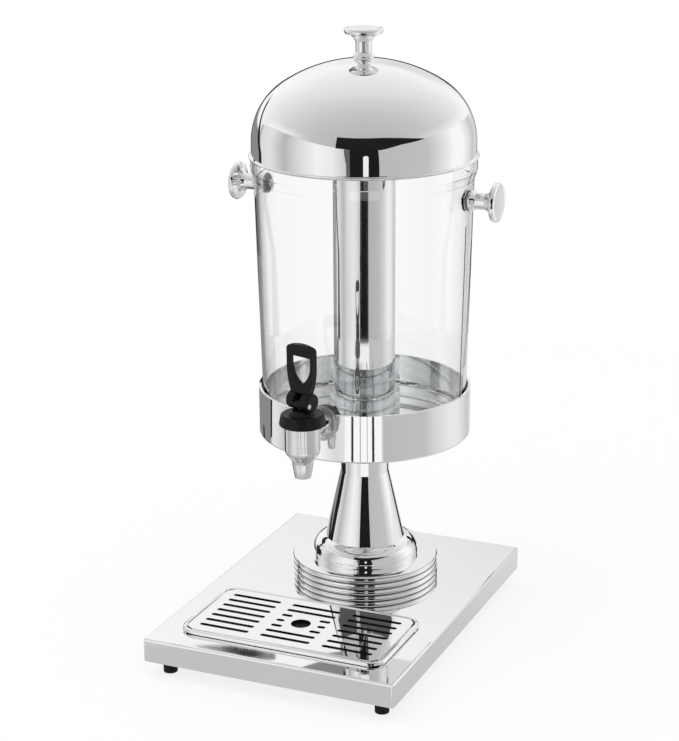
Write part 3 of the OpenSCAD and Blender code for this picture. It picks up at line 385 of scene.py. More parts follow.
# %% Round wall of panels
WALL_R = 1.0
WALL_STEPS = 140
PANEL_GREYS = by_degrees([
    (-180, 0.26), (-129, 0.26), (-122, 0.75), (-105, 0.8), (-84, 0.5), (-66, 0.74), (-46, 0.95),
    (-30, 0.87), (-19, 0.66), (13, 0.52), (62, 0.56), (76, 0.72), (97, 1.0), (112, 1.0), (137, 0.6),
    (145, 0.7), (180, 0.7),
])
PANEL_TOPS = [
    (-128, 0.62), (-103, 0.75), (-78, 0.788), (-56, 0.754), (-28, 0.69), (0, 0.655), (15, 0.655),
    (36, 0.757), (65, 0.8), (93, 0.788), (118, 0.711), (145, 0.565),
]
wall_glow, tree = glow("panel_glow")
only_in_mirrors(tree, grey_ramp(tree, turn_share(tree, from_axis(tree)), PANEL_GREYS))
turns = fan(PANEL_TOPS[0][0], PANEL_TOPS[-1][0], WALL_STEPS)
verts = [round_spot(WALL_R, t, z) for t in turns for z in (0, between(PANEL_TOPS, t))]
studio_mesh("studio_panels", verts, strip(turns), wall_glow)

# %% Light spilling over the tops of the side panels
SPILL_H = 0.17
SPILL_GAP = 0.004
SPILL_GREY = 0.97
SPILL_SHARES = by_degrees([
    (-130, 0.0), (-112, 0.9), (-80, 0.7), (-55, 0.0), (30, 0.0), (70, 0.35), (110, 0.85), (135, 0.6),
    (145, 0)])
spill_glow, tree = glow("spill_glow")
spill_side = grey_ramp(tree, turn_share(tree, from_axis(tree)), SPILL_SHARES)
up_share = add_node(tree, "ShaderNodeAttribute", attribute_name="spill_share").outputs["Fac"]
only_in_mirrors(tree, plain(SPILL_GREY), math_node(tree, "MULTIPLY", up_share, spill_side))
rows = [(t, between(PANEL_TOPS, t) + SPILL_GAP) for t in turns]
verts = [round_spot(WALL_R, t, z) for t, low in rows for z in (low, low + SPILL_H)]
spill = studio_mesh("studio_spill", verts, strip(rows), spill_glow)
share = spill.data.attributes.new("spill_share", "FLOAT", "POINT")
share.data.foreach_set("value", [1.0, 0.0] * len(rows))

# %% [markdown]
# ## Gap, seams and board
# The dark upright patch in the lid's edge is the gap that the camera looks through, with a lamp in it.
# Seams are the thin dark lines beside the bright panels. The board over the camera leans inwards and
# tapers to the right, which gives the lid its slanted dark band.

# %% The camera's gap, its lamp and the seam between panels
wall_patch("camera_gap", grey=0.012, radius=0.995, rows=[
    (0, -17, 14.4), (0.12, -16.5, 14.4), (0.225, -14.9, 14.3), (0.32, -14.5, 13.5), (0.66, -14, 12.7)])
wall_patch("gap_side", grey=0.13, radius=0.993, rows=[(0.28, -17.5, -14), (0.66, -19.5, -13.8)])
wall_patch("lamp_in_gap", grey=0.9, radius=0.99, rows=[
    (0.26, -1.5, 3.5), (0.46, -1.5, 3.5), (0.485, -1, 3), (0.5, 0, 2)])
wall_patch("left_seam", grey=0.015, radius=0.995, rows=[
    (0, -117, -104), (0.13, -114, -105), (0.2, -126, -119), (0.285, -128.6, -122.4), (0.45, -132, -126.5),
    (0.567, -136.5, -130.5), (0.635, -143, -136.5), (0.72, -155, -145)])

# %% A slanted edge far behind draws the dark wedge in the base, in front of the tray
wall_patch("wedge_behind", grey=0.03, radius=0.98, rows=[
    (0.576, -165.2, -164.7), (0.582, -168.4, -165.8), (0.592, -170.5, -167.6), (0.601, -172.4, -169.2),
    (0.612, -172.4, -171.2)], reach=(1.12, 2))

# %% Slanted dark board above the camera
BOARD_TURNS = range(-28, 63, 2)
BOARD_LEVEL, BOARD_POINT = 10, 62
BOARD_TAPER = 2.2
BOARD_R = 0.998
BOARD_LAP = 0.015
BOARD_HIGH = Vector((0.75, 0.86))
BOARD_GREY = 0.014
verts = []
for t in BOARD_TURNS:
    panel_top = between(PANEL_TOPS, t)
    taper = max(0, (t - BOARD_LEVEL) / (BOARD_POINT - BOARD_LEVEL)) ** BOARD_TAPER
    high = BOARD_HIGH.lerp(Vector((BOARD_R, panel_top)), taper)
    verts += [round_spot(BOARD_R, t, panel_top - BOARD_LAP), round_spot(high.x, t, high.y)]
studio_mesh("studio_board", verts, strip(BOARD_TURNS), grey_glow("board_glow", BOARD_GREY))

# %% [markdown]
# ## Flags near the pedestal
# A flag is a small dark card on a stand. Low ones to the left and right draw the dark lines on the
# pedestal's cone and bun. The round one darkens the pedestal only where the grille mirrors it. Flags
# stand close, so a reach keeps each of them out of the pieces that aren't meant to show it.

# %% Dark flags
wall_patch(
    "pedestal_flag", grey=0.09, radius=0.28, rows=[(0.3, -110, 110), (0.39, -110, 110)],
    through=False, twice=True)
wall_patch(
    "left_near_seam", grey=0.015, radius=0.3,
    rows=[(0.002, -118, -101), (0.035, -118, -101), (0.094, -128, -103), (0.12, -128, -103)],
    through=False, reach=(0.265, 0.6))
wall_patch(
    "right_near_seam", grey=0.02, radius=0.25,
    rows=[(0.002, 130, 145), (0.03, 130, 146), (0.09, 133, 154), (0.11, 133, 154)],
    through=False, reach=(0.205, 0.6))
wall_patch(
    "left_bun_flag", grey=0.02, radius=0.45,
    rows=[(0.27, -150, -130), (0.3, -164, -130), (0.38, -166, -134)],
    through=False, reach=(0.39, 0.52))
wall_patch(
    "right_bun_flag", grey=0.02, radius=0.45, rows=[(0.13, 131, 142), (0.285, 148, 160)],
    through=False, reach=(0.39, 0.48))

# %% [markdown]
# ## Floor
# The floor is white paper. For the camera it is mostly plain white and a little lit, so it melts into
# the background and keeps a soft shadow. Mirrors see it darker close to the dispenser, where that
# shades it, and as bright as the panels further out.

# %% Floor of white paper
FLOOR_R = 1.0
RIM_STEP = 3
FLOOR_FAR_GREYS = by_degrees([
    (-180, 0.26), (-116, 0.26), (-115, 0.78), (-105, 0.8), (-84, 0.5), (-66, 0.74), (-46, 0.95),
    (-30, 0.74), (-21, 0.8), (-20, 1.0), (16, 1.0), (17.2, 0.52), (62, 0.56), (76, 0.72), (97, 0.86),
    (112, 0.86), (140, 0.6), (150, 0.7), (180, 0.75),
])
FLOOR_NEAR_GREYS = by_degrees([
    (-180, 0.5), (-90, 0.5), (-47, 0.57), (0, 0.57), (60, 0.6), (133, 0.74), (180, 0.62)])
NEAR_R, NEAR_SOFT = 0.38, 0.05
PAPER_GREY = 0.93
PLAIN_WHITE = 0.78
paper, tree = glow("studio_paper")
arm = from_axis(tree)
around = turn_share(tree, arm)
mirrored_floor = mix_colour(
    tree, step_up(tree, vector_node(tree, "LENGTH", arm), NEAR_R, NEAR_SOFT),
    grey_ramp(tree, around, FLOOR_NEAR_GREYS), grey_ramp(tree, around, FLOOR_FAR_GREYS))
lit = add_node(tree, "ShaderNodeBsdfDiffuse", {"Color": plain(PAPER_GREY)})
mostly = math_node(tree, "MULTIPLY", light_path(tree, "Is Camera Ray"), PLAIN_WHITE)
to_camera = mix_shader(tree, mostly, lit, emission(tree, plain(1)))
end_tree(tree, mix_shader(tree, met_mirror(tree), to_camera, emission(tree, mirrored_floor)))
rim = [round_spot(FLOOR_R, t, 0) for t in range(-180, 180, RIM_STEP)]
floor = studio_mesh("studio_floor", rim, [tuple(range(len(rim)))], paper)
floor.visible_diffuse = True
floor.visible_shadow = True

# %% Dark lines on the floor: feet of the stands and seams of the panels
floor_patch("left_foot_line", grey=0.03, rows=[(0.55, -14.1, -11.9), (0.9, -14.1, -11.9)])
floor_patch("right_foot_line", grey=0.03, rows=[(0.55, 6.4, 8.7), (0.9, 6.4, 8.7)])
floor_patch("left_lamp_line", grey=0.25, rows=[(0.55, -5.6, -4.8), (0.9, -5.6, -4.8)])
floor_patch("right_lamp_line", grey=0.3, rows=[(0.55, 1.4, 2.0), (0.9, 1.4, 2.0)])
floor_patch("left_floor_seam", grey=0.015, rows=[(0.25, -112, -104), (0.3, -118, -101)])
floor_patch("left_neck_line", grey=0.015, rows=[(0.38, -143, -112), (0.47, -143, -112)])
floor_patch("left_cup_line", grey=0.015, rows=[(0.62, -117.4, -113.8), (0.99, -117.4, -113.8)])
floor_patch("right_floor_seam", grey=0.02, rows=[(0.19, 142, 158), (0.25, 142, 158)])

# %% [markdown]
# ## Lamp and light paths
# The world lights everything evenly, so one weak, large area lamp from the upper left is enough to give
# the shadow a direction. Mirrors and plastic don't see it, as the panels already stand for its look.
# Light that goes through the container's walls and off the steel behind needs more bounces than usual.

# %% Soft key lamp for the shadow
KEY_POWER = 5
KEY_SIZE = 1.2
KEY_SPOT = Vector((-0.6, -0.5, 1.9))
KEY_AIM = Vector((0, 0, 0.2))
key = bpy.data.lights.new("soft_key", "AREA")
key.energy = KEY_POWER
key.size = KEY_SIZE
key_lamp = bpy.data.objects.new("soft_key", key)
key_lamp.location = KEY_SPOT
key_lamp.rotation_euler = (KEY_AIM - key_lamp.location).to_track_quat("-Z", "Y").to_euler()
key_lamp.visible_glossy = False
key_lamp.visible_transmission = False
bpy.context.scene.collection.objects.link(key_lamp)
print("lamp distance in m:", round((KEY_AIM - KEY_SPOT).length, 2))

# %% Light paths long enough for plastic inside steel
paths = bpy.context.scene.cycles
paths.max_bounces = 32
paths.glossy_bounces = 12
paths.transmission_bounces = 24
print("bounces:", paths.max_bounces, paths.glossy_bounces, paths.transmission_bounces)

# %% [markdown]
# ## Finishes
# No real surface is one flat colour. Each finish starts from the place on the piece, in metres, and lets
# noise drift between two tints and two roughnesses at the scale that the real material has: wide for
# polished sheet, fine for cast or moulded pieces. Object coordinates need no unwrapping, and they stay
# with the piece when it moves.

# %% Finish helpers
NOISE_LOW, NOISE_HIGH = 0.3, 0.7
NOISE_DETAIL = 3


def start_finish(name):
    made = bpy.data.materials.new(name)
    made.use_nodes = True
    tree = made.node_tree
    tree.nodes.clear()
    place = add_node(tree, "ShaderNodeTexCoord").outputs["Object"]
    print("finish:", name)
    return made, tree, place


def drift(tree, place, scale, low, high):
    """Noise that drifts between two numbers over the surface."""
    noise = add_node(tree, "ShaderNodeTexNoise", {"Vector": place, "Scale": scale, "Detail": NOISE_DETAIL})
    limits = {"From Min": NOISE_LOW, "From Max": NOISE_HIGH, "To Min": low, "To Max": high}
    return add_node(tree, "ShaderNodeMapRange", {"Value": noise.outputs["Fac"], **limits}).outputs[0]


def tint_drift(tree, place, scale, dark, light):
    share = drift(tree, place, scale, 0, 1)
    return mix_colour(tree, share, (*dark, 1), (*light, 1))


def metal(tree, tint, rough, metallic=1.0):
    return add_node(tree, "ShaderNodeBsdfPrincipled", {
        "Base Color": tint, "Metallic": metallic, "Roughness": rough})


# %% [markdown]
# ## Steel
# Base, pedestal, cup, ice tube, lid and knobs are polished stainless steel: nearly white metal, with a
# roughness that drifts a little, as a polishing wheel leaves it. The tap is chrome plate, which is
# greyer. Screws and nuts are plain turned steel, and the ring inside the lid is blasted, so it looks pale
# and soft. All of them are the same shader with other numbers, so one function makes them.

# %% Polished, chromed, plain and blasted steel
POLISH_TINT = (9, (0.915, 0.92, 0.925), (0.935, 0.938, 0.94))
POLISH_ROUGH = (40, 0.02, 0.045)


def steel(name, tint, rough, metallic=1.0):
    """Steel with a tint (scale, dark, light) and a roughness (scale, low, high)."""
    made, tree, place = start_finish(name)
    end_tree(tree, metal(tree, tint_drift(tree, place, *tint), drift(tree, place, *rough), metallic))
    return made


polished_steel = steel("polished_steel", POLISH_TINT, POLISH_ROUGH)
chrome_plate = steel(
    "chrome_plate", tint=(60, (0.73, 0.74, 0.755), (0.79, 0.795, 0.805)), rough=(120, 0.03, 0.06))
plain_steel = steel(
    "plain_steel", tint=(300, (0.52, 0.53, 0.54), (0.66, 0.67, 0.68)), rough=(500, 0.22, 0.36))
satin_steel = steel(
    "satin_steel", tint=(20, (0.9, 0.905, 0.91), (0.94, 0.943, 0.946)), rough=(25, 0.5, 0.6),
    metallic=0.15)

# %% [markdown]
# ## Tray steel
# The tray is polished outside and dull inside. Its inside and underside also get painted shade: a
# near-black colour stands in for the deep shade under the grille. Two materials on one piece would need a
# border along its faces. A box test on the place does it in one material: what lies inside the brim and
# below its top is dull, with painted shade.

# %% Tray steel: polished outside, dull inside with painted shade
TRAY_Y = -96.5
TRAY_HALVES = (101.3, 50.8, 10.8)
DULL_INSET = 0.4
DULL_TOP = 42.7
# Painted shade: this near-black tint inside the tray stands in for the shade under the grille.
PAINTED_SHADE_TINT = (60, (0.012, 0.012, 0.013), (0.03, 0.03, 0.031))
DULL_ROUGH = (200, 0.5, 0.65)
DULL_METAL, DULL_GLOSS = 0.6, 0.2


def within(tree, value, middle, half):
    away = math_node(tree, "ABSOLUTE", math_node(tree, "SUBTRACT", value, middle))
    return math_node(tree, "LESS_THAN", away, half)


tray_steel, tree, place = start_finish("tray_steel")
spot = add_node(tree, "ShaderNodeSeparateXYZ", {0: place}).outputs
in_width = within(tree, spot["X"], 0, (TRAY_HALVES[0] - DULL_INSET) * MM)
in_depth = within(tree, spot["Y"], TRAY_Y * MM, (TRAY_HALVES[1] - DULL_INSET) * MM)
# The box inside the brim and below its top gets the dull finish with painted shade.
painted_shade_inside = math_node(tree, "MULTIPLY", in_width, in_depth)
painted_shade_inside = math_node(tree, "MULTIPLY", painted_shade_inside, math_node(tree, "LESS_THAN", spot["Z"], DULL_TOP * MM))
bright = metal(tree, tint_drift(tree, place, *POLISH_TINT), drift(tree, place, *POLISH_ROUGH))
dull_painted_shade = metal(tree, tint_drift(tree, place, *PAINTED_SHADE_TINT), drift(tree, place, *DULL_ROUGH), DULL_METAL)
dull_painted_shade.inputs["Specular IOR Level"].default_value = DULL_GLOSS
end_tree(tree, mix_shader(tree, painted_shade_inside, bright, dull_painted_shade))

# %% [markdown]
# ## Beaded steel
# The plinth under the pedestal has beads rolled into its side. The grooves get painted shade: a dark grey
# stands in for the shade deep in each groove and draws dark lines. The distance from the axis tells a
# groove from a bead, so the colour follows that.

# %% Beaded steel of the plinth, with painted shade in its grooves
PLINTH_R = 75.1
GROOVE_R = 73.8
GROOVE_EDGE, BEAD_EDGE = 0.1, 0.4
PLINTH_TOP = 57.5
# Painted shade: this dark grey in the grooves stands in for the shade inside them.
GROOVE_PAINTED_SHADE = plain(0.1)
UNSHADED_STEEL = (0.925, 0.93, 0.935, 1)
beaded_steel, tree, place = start_finish("beaded_steel")
arm = vector_node(tree, "SUBTRACT", place, (0, AXIS_Y, 0))
reach = vector_node(tree, "LENGTH", vector_node(tree, "MULTIPLY", arm, (1, 1, 0)))
on_bead = add_node(tree, "ShaderNodeMapRange", {
    "Value": reach, "From Min": (GROOVE_R + GROOVE_EDGE) * MM, "From Max": (PLINTH_R - BEAD_EDGE) * MM})
height = add_node(tree, "ShaderNodeSeparateXYZ", {0: place}).outputs["Z"]
on_top = math_node(tree, "GREATER_THAN", height, PLINTH_TOP * MM)
out_of_groove = math_node(tree, "MAXIMUM", on_bead.outputs[0], on_top)
groove_shaded_tint = mix_colour(tree, out_of_groove, GROOVE_PAINTED_SHADE, UNSHADED_STEEL)
end_tree(tree, metal(tree, groove_shaded_tint, drift(tree, place, *POLISH_ROUGH)))

# %% [markdown]
# ## Plastics and rubber
# The container is clear moulded plastic, which bends light about as acrylic does. It is a solid with a
# true wall, so transmission with that index is all it needs. Black plastic, rubber and silicone come out
# of a mould with a fine grain: noise drives a bump as well as tint and roughness.

# %% Clear plastic
ACRYLIC_IOR = 1.49
clear_plastic, tree, place = start_finish("clear_plastic")
plastic = add_node(tree, "ShaderNodeBsdfPrincipled", {
    "Base Color": tint_drift(tree, place, 12, (0.985, 0.99, 0.99), (0.995, 0.997, 0.997)),
    "Transmission Weight": 1.0, "IOR": ACRYLIC_IOR, "Roughness": drift(tree, place, 30, 0.0, 0.012)})
end_tree(tree, plastic)

# %% Black plastic, black rubber and pale silicone
GRAIN_DEPTH = 0.0004
GRAIN_DETAIL = 4
GRAINS_PER_TINT, GRAINS_PER_ROUGH = 8, 3


def moulded(name, scale, dark, light, rough, grain, gloss, clear=0.0):
    made, tree, place = start_finish(name)
    noise = add_node(tree, "ShaderNodeTexNoise", {"Vector": place, "Scale": scale, "Detail": GRAIN_DETAIL})
    bump = add_node(tree, "ShaderNodeBump", {
        "Height": noise.outputs["Fac"], "Strength": grain, "Distance": GRAIN_DEPTH})
    shader = add_node(tree, "ShaderNodeBsdfPrincipled", {
        "Base Color": tint_drift(tree, place, scale / GRAINS_PER_TINT, dark, light),
        "Roughness": drift(tree, place, scale / GRAINS_PER_ROUGH, *rough), "Normal": bump.outputs[0],
        "Specular IOR Level": gloss, "Transmission Weight": clear})
    end_tree(tree, shader)
    return made


black_plastic = moulded(
    "black_plastic", scale=2600, dark=(0.004, 0.004, 0.0045), light=(0.008, 0.008, 0.0085),
    rough=(0.32, 0.45), grain=0.2, gloss=0.17)
black_rubber = moulded(
    "black_rubber", scale=1800, dark=(0.006, 0.006, 0.006), light=(0.012, 0.012, 0.012),
    rough=(0.6, 0.75), grain=0.4, gloss=0.15)
pale_silicone = moulded(
    "pale_silicone", scale=900, dark=(0.86, 0.86, 0.85), light=(0.93, 0.93, 0.92),
    rough=(0.25, 0.4), grain=0.1, gloss=0.5, clear=0.85)

# %% [markdown]
# ## Dressing the solids
# The record names a material slot for every solid, so one loop dresses them all. The plinth alone has a
# finish of its own.

# %% Give every solid its finish
finishes = {
    "polished_steel": polished_steel, "chrome_plate": chrome_plate, "plain_steel": plain_steel,
    "clear_plastic": clear_plastic, "black_plastic": black_plastic, "black_rubber": black_rubber,
    "pale_silicone": pale_silicone,
}
slot_of = {row["node"]: row["material_slot"] for row in frame["record"]["subparts"]}
for name, solid in nodes.items():
    solid.data.materials.clear()
    solid.data.materials.append(finishes[slot_of[name]])
nodes["plinth"].data.materials[0] = beaded_steel
print("solids dressed:", len(nodes))

# %% [markdown]
# ## Turned pieces
# Knobs, the pedestal's cone and the tap body come off a lathe, so each is an outline spun round an axis.
# A Screw modifier could spin it too, but bmesh gives a plain mesh at once. An outline is a list of
# corners (radius, height, fillet) in millimetres: the fillet turns a corner into an arc, which is what
# gives a polished edge its bright line. Where a solid from CAD is drawn more simply than the real piece,
# the turned piece stands in its place and moves with the same body.

# %% Helper that makes a piece
SHARP_ANGLE = math.radians(35)


def new_piece(name, bm, body, finish, *replaced):
    bmesh.ops.recalc_face_normals(bm, faces=bm.faces)
    mesh = bpy.data.meshes.new(name)
    bm.to_mesh(mesh)
    bm.free()
    mesh.materials.append(finish)
    mesh.shade_smooth()
    mesh.set_sharp_from_angle(angle=SHARP_ANGLE)
    piece = bpy.data.objects.new(name, mesh)
    bpy.context.scene.collection.objects.link(piece)
    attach(piece, body)
    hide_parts(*replaced)
    print(name, "faces:", len(mesh.polygons))
    return piece


# %% Helper that rounds the corners of an outline
FILLET_STEPS = 5


def rounded(outline, closed):
    """Points of an outline: corners (x, y, fillet) become arcs, and those without a fillet stay sharp."""
    points = []
    count = len(outline)
    for i, corner in enumerate(outline):
        here = Vector(corner[:2])
        fillet = corner[2] if len(corner) > 2 else 0
        at_end = not closed and i in (0, count - 1)
        if not fillet or at_end:
            points.append(here)
            continue
        back = (Vector(outline[i - 1][:2]) - here).normalized()
        on = (Vector(outline[(i + 1) % count][:2]) - here).normalized()
        half = back.angle(on) / 2
        middle = here + (back + on).normalized() * fillet / math.sin(half)
        start = here + back * fillet / math.tan(half) - middle
        end = here + on * fillet / math.tan(half) - middle
        sweep = start.angle(end)
        for k in range(FILLET_STEPS + 1):
            share = k / FILLET_STEPS
            arc = start * math.sin((1 - share) * sweep) + end * math.sin(share * sweep)
            points.append(middle + arc / math.sin(sweep))
    return points


# %% Helper that spins an outline
TURN_STEPS = 112
SAME_POINT = 1e-7
UP = (0, 0, 1)


def spin(bm, outline, centre, axis, closed=True):
    """Spin an outline in millimetres round an axis through centre and add it to bm."""
    lathe = bmesh.new()
    verts = [lathe.verts.new((p.x * MM, 0, p.y * MM)) for p in rounded(outline, closed)]
    ends = verts[1:] + verts[:1] if closed else verts[1:]
    edges = [lathe.edges.new(pair) for pair in zip(verts, ends)]
    bmesh.ops.spin(
        lathe, geom=verts + edges, cent=(0, 0, 0), axis=UP, angle=FULL_TURN,
        steps=TURN_STEPS, use_merge=True)
    bmesh.ops.remove_doubles(lathe, verts=lathe.verts, dist=SAME_POINT)
    lean = Vector(UP).rotation_difference(Vector(axis)).to_matrix().to_4x4()
    lathe.transform(Matrix.Translation(Vector(centre) * MM) @ lean)
    made = bpy.data.meshes.new("lathe_work")
    lathe.to_mesh(made)
    lathe.free()
    bm.from_mesh(made)
    bpy.data.meshes.remove(made)


# %% [markdown]
# ## Cone and neck
# The pedestal narrows in a long straight cone and goes on as a plain neck up to the cup. It is one sheet
# with a single soft fold, so its section is six corners, and only the fold has a fillet.

# %% Cone and neck of the pedestal
AXIS_FOOT = (0, 65, 0)
CONE = [
    (40.5, 77.05), (24.5, 148.05, 1.5), (24.5, 192.05), (23, 192.05), (23, 148.3, 1.5), (39, 77.05)]
bm = bmesh.new()
spin(bm, CONE, AXIS_FOOT, UP)
new_piece("cone_and_neck", bm, "stand", polished_steel, "column_cone")

# %% [markdown]
# ## Knobs
# The two side knobs and the lid's knob are the same turning: a bulged foot, a slim neck, and a disc with
# a thick round rim, widest just above its middle. One outline is spun three times, along three axes. It
# starts in the screw's blind hole and ends in the middle of the face, so it stays open at the axis.

# %% Knobs
KNOB = [
    (0, 14.7), (2.5, 14.7), (2.5, 0.3), (9.6, 0, 0.3), (10.4, 2.8, 1.8), (7.9, 6.8, 2.5), (7.9, 17, 3),
    (9.6, 20.2, 1.2), (12.4, 22.6, 2), (18.3, 24.6, 0.8), (19.2, 27.2, 1.6), (18.3, 29.6, 1),
    (16.2, 30.2, 1), (15.2, 29.8, 0.8), (0, 29.5)]
for name, centre, axis, body in (
        ("left_knob", (-110.6, 65, 438.65), (-1, 0, 0), "container"),
        ("right_knob", (110.6, 65, 438.65), (1, 0, 0), "container"),
        ("lid_knob", (0, 65, 569.31), UP, "lid")):
    bm = bmesh.new()
    spin(bm, KNOB, centre, axis, closed=False)
    new_piece("turned_" + name, bm, body, polished_steel, name)

# %% [markdown]
# ## Tap body
# The cup of the tap narrows to its spout in an ogee: an arc that bulges runs into one that is hollow.
# Both arcs start upright and meet at one slope, and that fixes the sum of their radii. A Bezier curve
# would come close, but two true arcs are what a lathe tool follows. The shank that goes through the
# container's wall is a second turning, laid along y.

# %% Ogee between cup and spout
TAP_Y = -87
SPOUT_TOP, BODY_LOW = 204.15, 220.95
OGEE_R, BODY_R = 10, 17.2
OGEE_SHARE = 0.46
OGEE_STEPS = 16
OGEE_H = BODY_LOW - SPOUT_TOP
OGEE_IN = BODY_R - OGEE_R
both_r = (OGEE_H ** 2 + OGEE_IN ** 2) / (2 * OGEE_IN)
high_r = both_r * OGEE_SHARE
low_r = both_r - high_r
bend = OGEE_H * (1 - OGEE_SHARE)
ogee = []
for k in range(OGEE_STEPS + 1):
    rise = OGEE_H * k / OGEE_STEPS
    if rise < bend:
        reach_r = OGEE_R + low_r - math.sqrt(low_r ** 2 - rise ** 2)
    else:
        reach_r = BODY_R - high_r + math.sqrt(high_r ** 2 - (OGEE_H - rise) ** 2)
    ogee.append((reach_r, SPOUT_TOP + rise))
print("radii of the ogee in mm:", round(low_r, 2), round(high_r, 2))

# %% Tap body and shank
SPOUT_END, BONNET_LOW, SEAT = 191.65, 244.35, 218.43
SPOUT_R, OUTLET_R, THREAD_R, CHAMBER_R = 8, 6, 19.8, 13.5
SHANK_Z, SHANK_R, INLET_R = 232.15, 8, 5
body_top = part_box("tap_body")[1].z / MM
TAP = [(OUTLET_R, SPOUT_END, 0.4), (SPOUT_R, SPOUT_END, 0.5)] + ogee + [
    (BODY_R, BONNET_LOW), (THREAD_R, BONNET_LOW), (THREAD_R, body_top), (CHAMBER_R, body_top),
    (CHAMBER_R, SEAT), (OUTLET_R, SEAT)]
shank_start = TAP_Y + (CHAMBER_R + BODY_R) / 2
shank_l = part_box("tap_body")[1].y / MM - shank_start
SHANK = [(INLET_R, 0), (SHANK_R, 0), (SHANK_R, shank_l, 0.6), (INLET_R, shank_l, 0.3)]
bm = bmesh.new()
spin(bm, TAP, (0, TAP_Y, 0), UP)
spin(bm, SHANK, (0, shank_start, SHANK_Z), (0, 1, 0))
new_piece("turned_tap_body", bm, "container", chrome_plate, "tap_body")

# %% [markdown]
# ## Closing spring
# A spring of round wire presses the valve down. Its wire is a ring of points carried along a helix. A
# curve with a bevel would do as well, but a mesh with closed ends needs no conversion. Its coils are
# evenly spaced over the height of the spring from CAD.

# %% Helper that joins rings of points
def join_rings(bm, rings, closed=False):
    """Quads between neighbouring rings, and from the last to the first if closed, or else two ends."""
    pairs = list(zip(rings, rings[1:]))
    if closed:
        pairs.append((rings[-1], rings[0]))
    for a, b in pairs:
        for i in range(len(a)):
            j = (i + 1) % len(a)
            bm.faces.new((a[i], a[j], b[j], b[i]))
    if not closed:
        bm.faces.new(rings[0])
        bm.faces.new(rings[-1])


# %% Closing spring
spring_low, spring_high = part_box("tap_spring")
WIRE_R = 0.8
SPRING_TURNS = 6
TURN_POINTS = 24
WIRE_SIDES = 10
coil_r = (spring_high.x - spring_low.x) / 2 / MM - WIRE_R
coil_low = spring_low.z / MM + WIRE_R
coil_h = spring_high.z / MM - WIRE_R - coil_low
bm = bmesh.new()
rings = []
for i in range(SPRING_TURNS * TURN_POINTS + 1):
    turn = FULL_TURN * i / TURN_POINTS
    z = coil_low + coil_h * i / (SPRING_TURNS * TURN_POINTS)
    ring = []
    for k in range(WIRE_SIDES):
        around = FULL_TURN * k / WIRE_SIDES
        out = coil_r + WIRE_R * math.cos(around)
        x = out * math.cos(turn)
        y = TAP_Y + out * math.sin(turn)
        ring.append(bm.verts.new((x * MM, y * MM, (z + WIRE_R * math.sin(around)) * MM)))
    rings.append(ring)
join_rings(bm, rings)
spring = new_piece("wire_spring", bm, "container", plain_steel, "tap_spring")
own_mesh(spring)

# %% [markdown]
# ## Ring inside the lid
# A ring under the lid keeps it centred on the container. It is short enough to hide behind the lid's
# edge: a shelf with a small wall turned down, spun like the rest.

# %% Ring inside the lid
RING_W, RING_H, RING_T = 4.6, 3.6, 1.2
ring_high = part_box("lid_ring")[1]
ring_out = ring_high.x / MM
ring_top = ring_high.z / MM
ring_in = ring_out - RING_W
ring_foot = ring_top - RING_H
ring_shelf = ring_top - RING_T
RING = [
    (ring_in, ring_foot, 0.3), (ring_in + RING_T, ring_foot, 0.3), (ring_in + RING_T, ring_shelf, 0.5),
    (ring_out, ring_shelf), (ring_out, ring_top), (ring_in, ring_top, 0.6)]
bm = bmesh.new()
spin(bm, RING, AXIS_FOOT, UP)
new_piece("short_lid_ring", bm, "lid", satin_steel, "lid_ring")

# %% [markdown]
# ## Drip tray
# The tray is a shallow pressing with a rolled brim. A bevelled box would give a brim that gets narrower
# in the corners. Instead a section is carried round a rounded rectangle, with every point of the section
# moved out by the same amount, corners too.

# %% Helpers for pressed pieces
CORNER_STEPS = 10
BRIM_STEPS = 10
QUARTERS = ((1, 1), (-1, 1), (-1, -1), (1, -1))


def rounded_rectangle(half_w, half_d, corner_r):
    points = []
    for quarter, (sx, sy) in enumerate(QUARTERS):
        for k in range(CORNER_STEPS + 1):
            turn = math.pi / 2 * (quarter + k / CORNER_STEPS)
            points.append((
                sx * (half_w - corner_r) + corner_r * math.cos(turn),
                sy * (half_d - corner_r) + corner_r * math.sin(turn)))
    return points


def carry_round(bm, section, half_w, half_d, corner_r, closed=False):
    """Carry a section (way out, height) round a rounded rectangle in the tray's place."""
    rings = []
    for out, z in section:
        round_way = rounded_rectangle(half_w + out, half_d + out, corner_r + out)
        rings.append([bm.verts.new((x * MM, (y + TRAY_Y) * MM, z * MM)) for x, y in round_way])
    join_rings(bm, rings, closed)


def half_round(middle, z, radius, first, last):
    """Points of an arc across a brim, from first to last degrees."""
    turns = [math.radians(t) for t in fan(first, last, BRIM_STEPS)]
    return [(middle + radius * math.cos(t), z + radius * math.sin(t)) for t in turns]


# %% Tray: low, with a broad rolled brim
BRIM_R, BRIM_Z, BRIM_FOOT, SHEET = 2.6, 40.6, 40, 0.8
TRAY_INSIDE = [(-3, 39.6), (-1.2, 39.75), (-0.3, 40.1)]
TRAY_UNDERSIDE = [(0.4, 39.5), (-1, 38.8), (-3, 38.8)]
section = TRAY_INSIDE + half_round(BRIM_R, BRIM_Z, BRIM_R, 180, 0)
section += [(2 * BRIM_R, BRIM_FOOT), (2 * BRIM_R - SHEET, BRIM_FOOT)]
section += half_round(BRIM_R, BRIM_Z, BRIM_R - SHEET, 0, 180) + TRAY_UNDERSIDE
bm = bmesh.new()
carry_round(bm, section, *TRAY_HALVES)
new_piece("pressed_tray", bm, "tray", tray_steel, "drip_tray")

# %% [markdown]
# ## Grille
# The grille is a punched plate with three banks of slots, and the middle bank stops at a ring round the
# drain hole. Cutting so many holes with booleans is slow and leaves poor faces. A filled 2D curve with
# holes is the shortest way to a clean plate; its turned-down edge is one more section carried round.

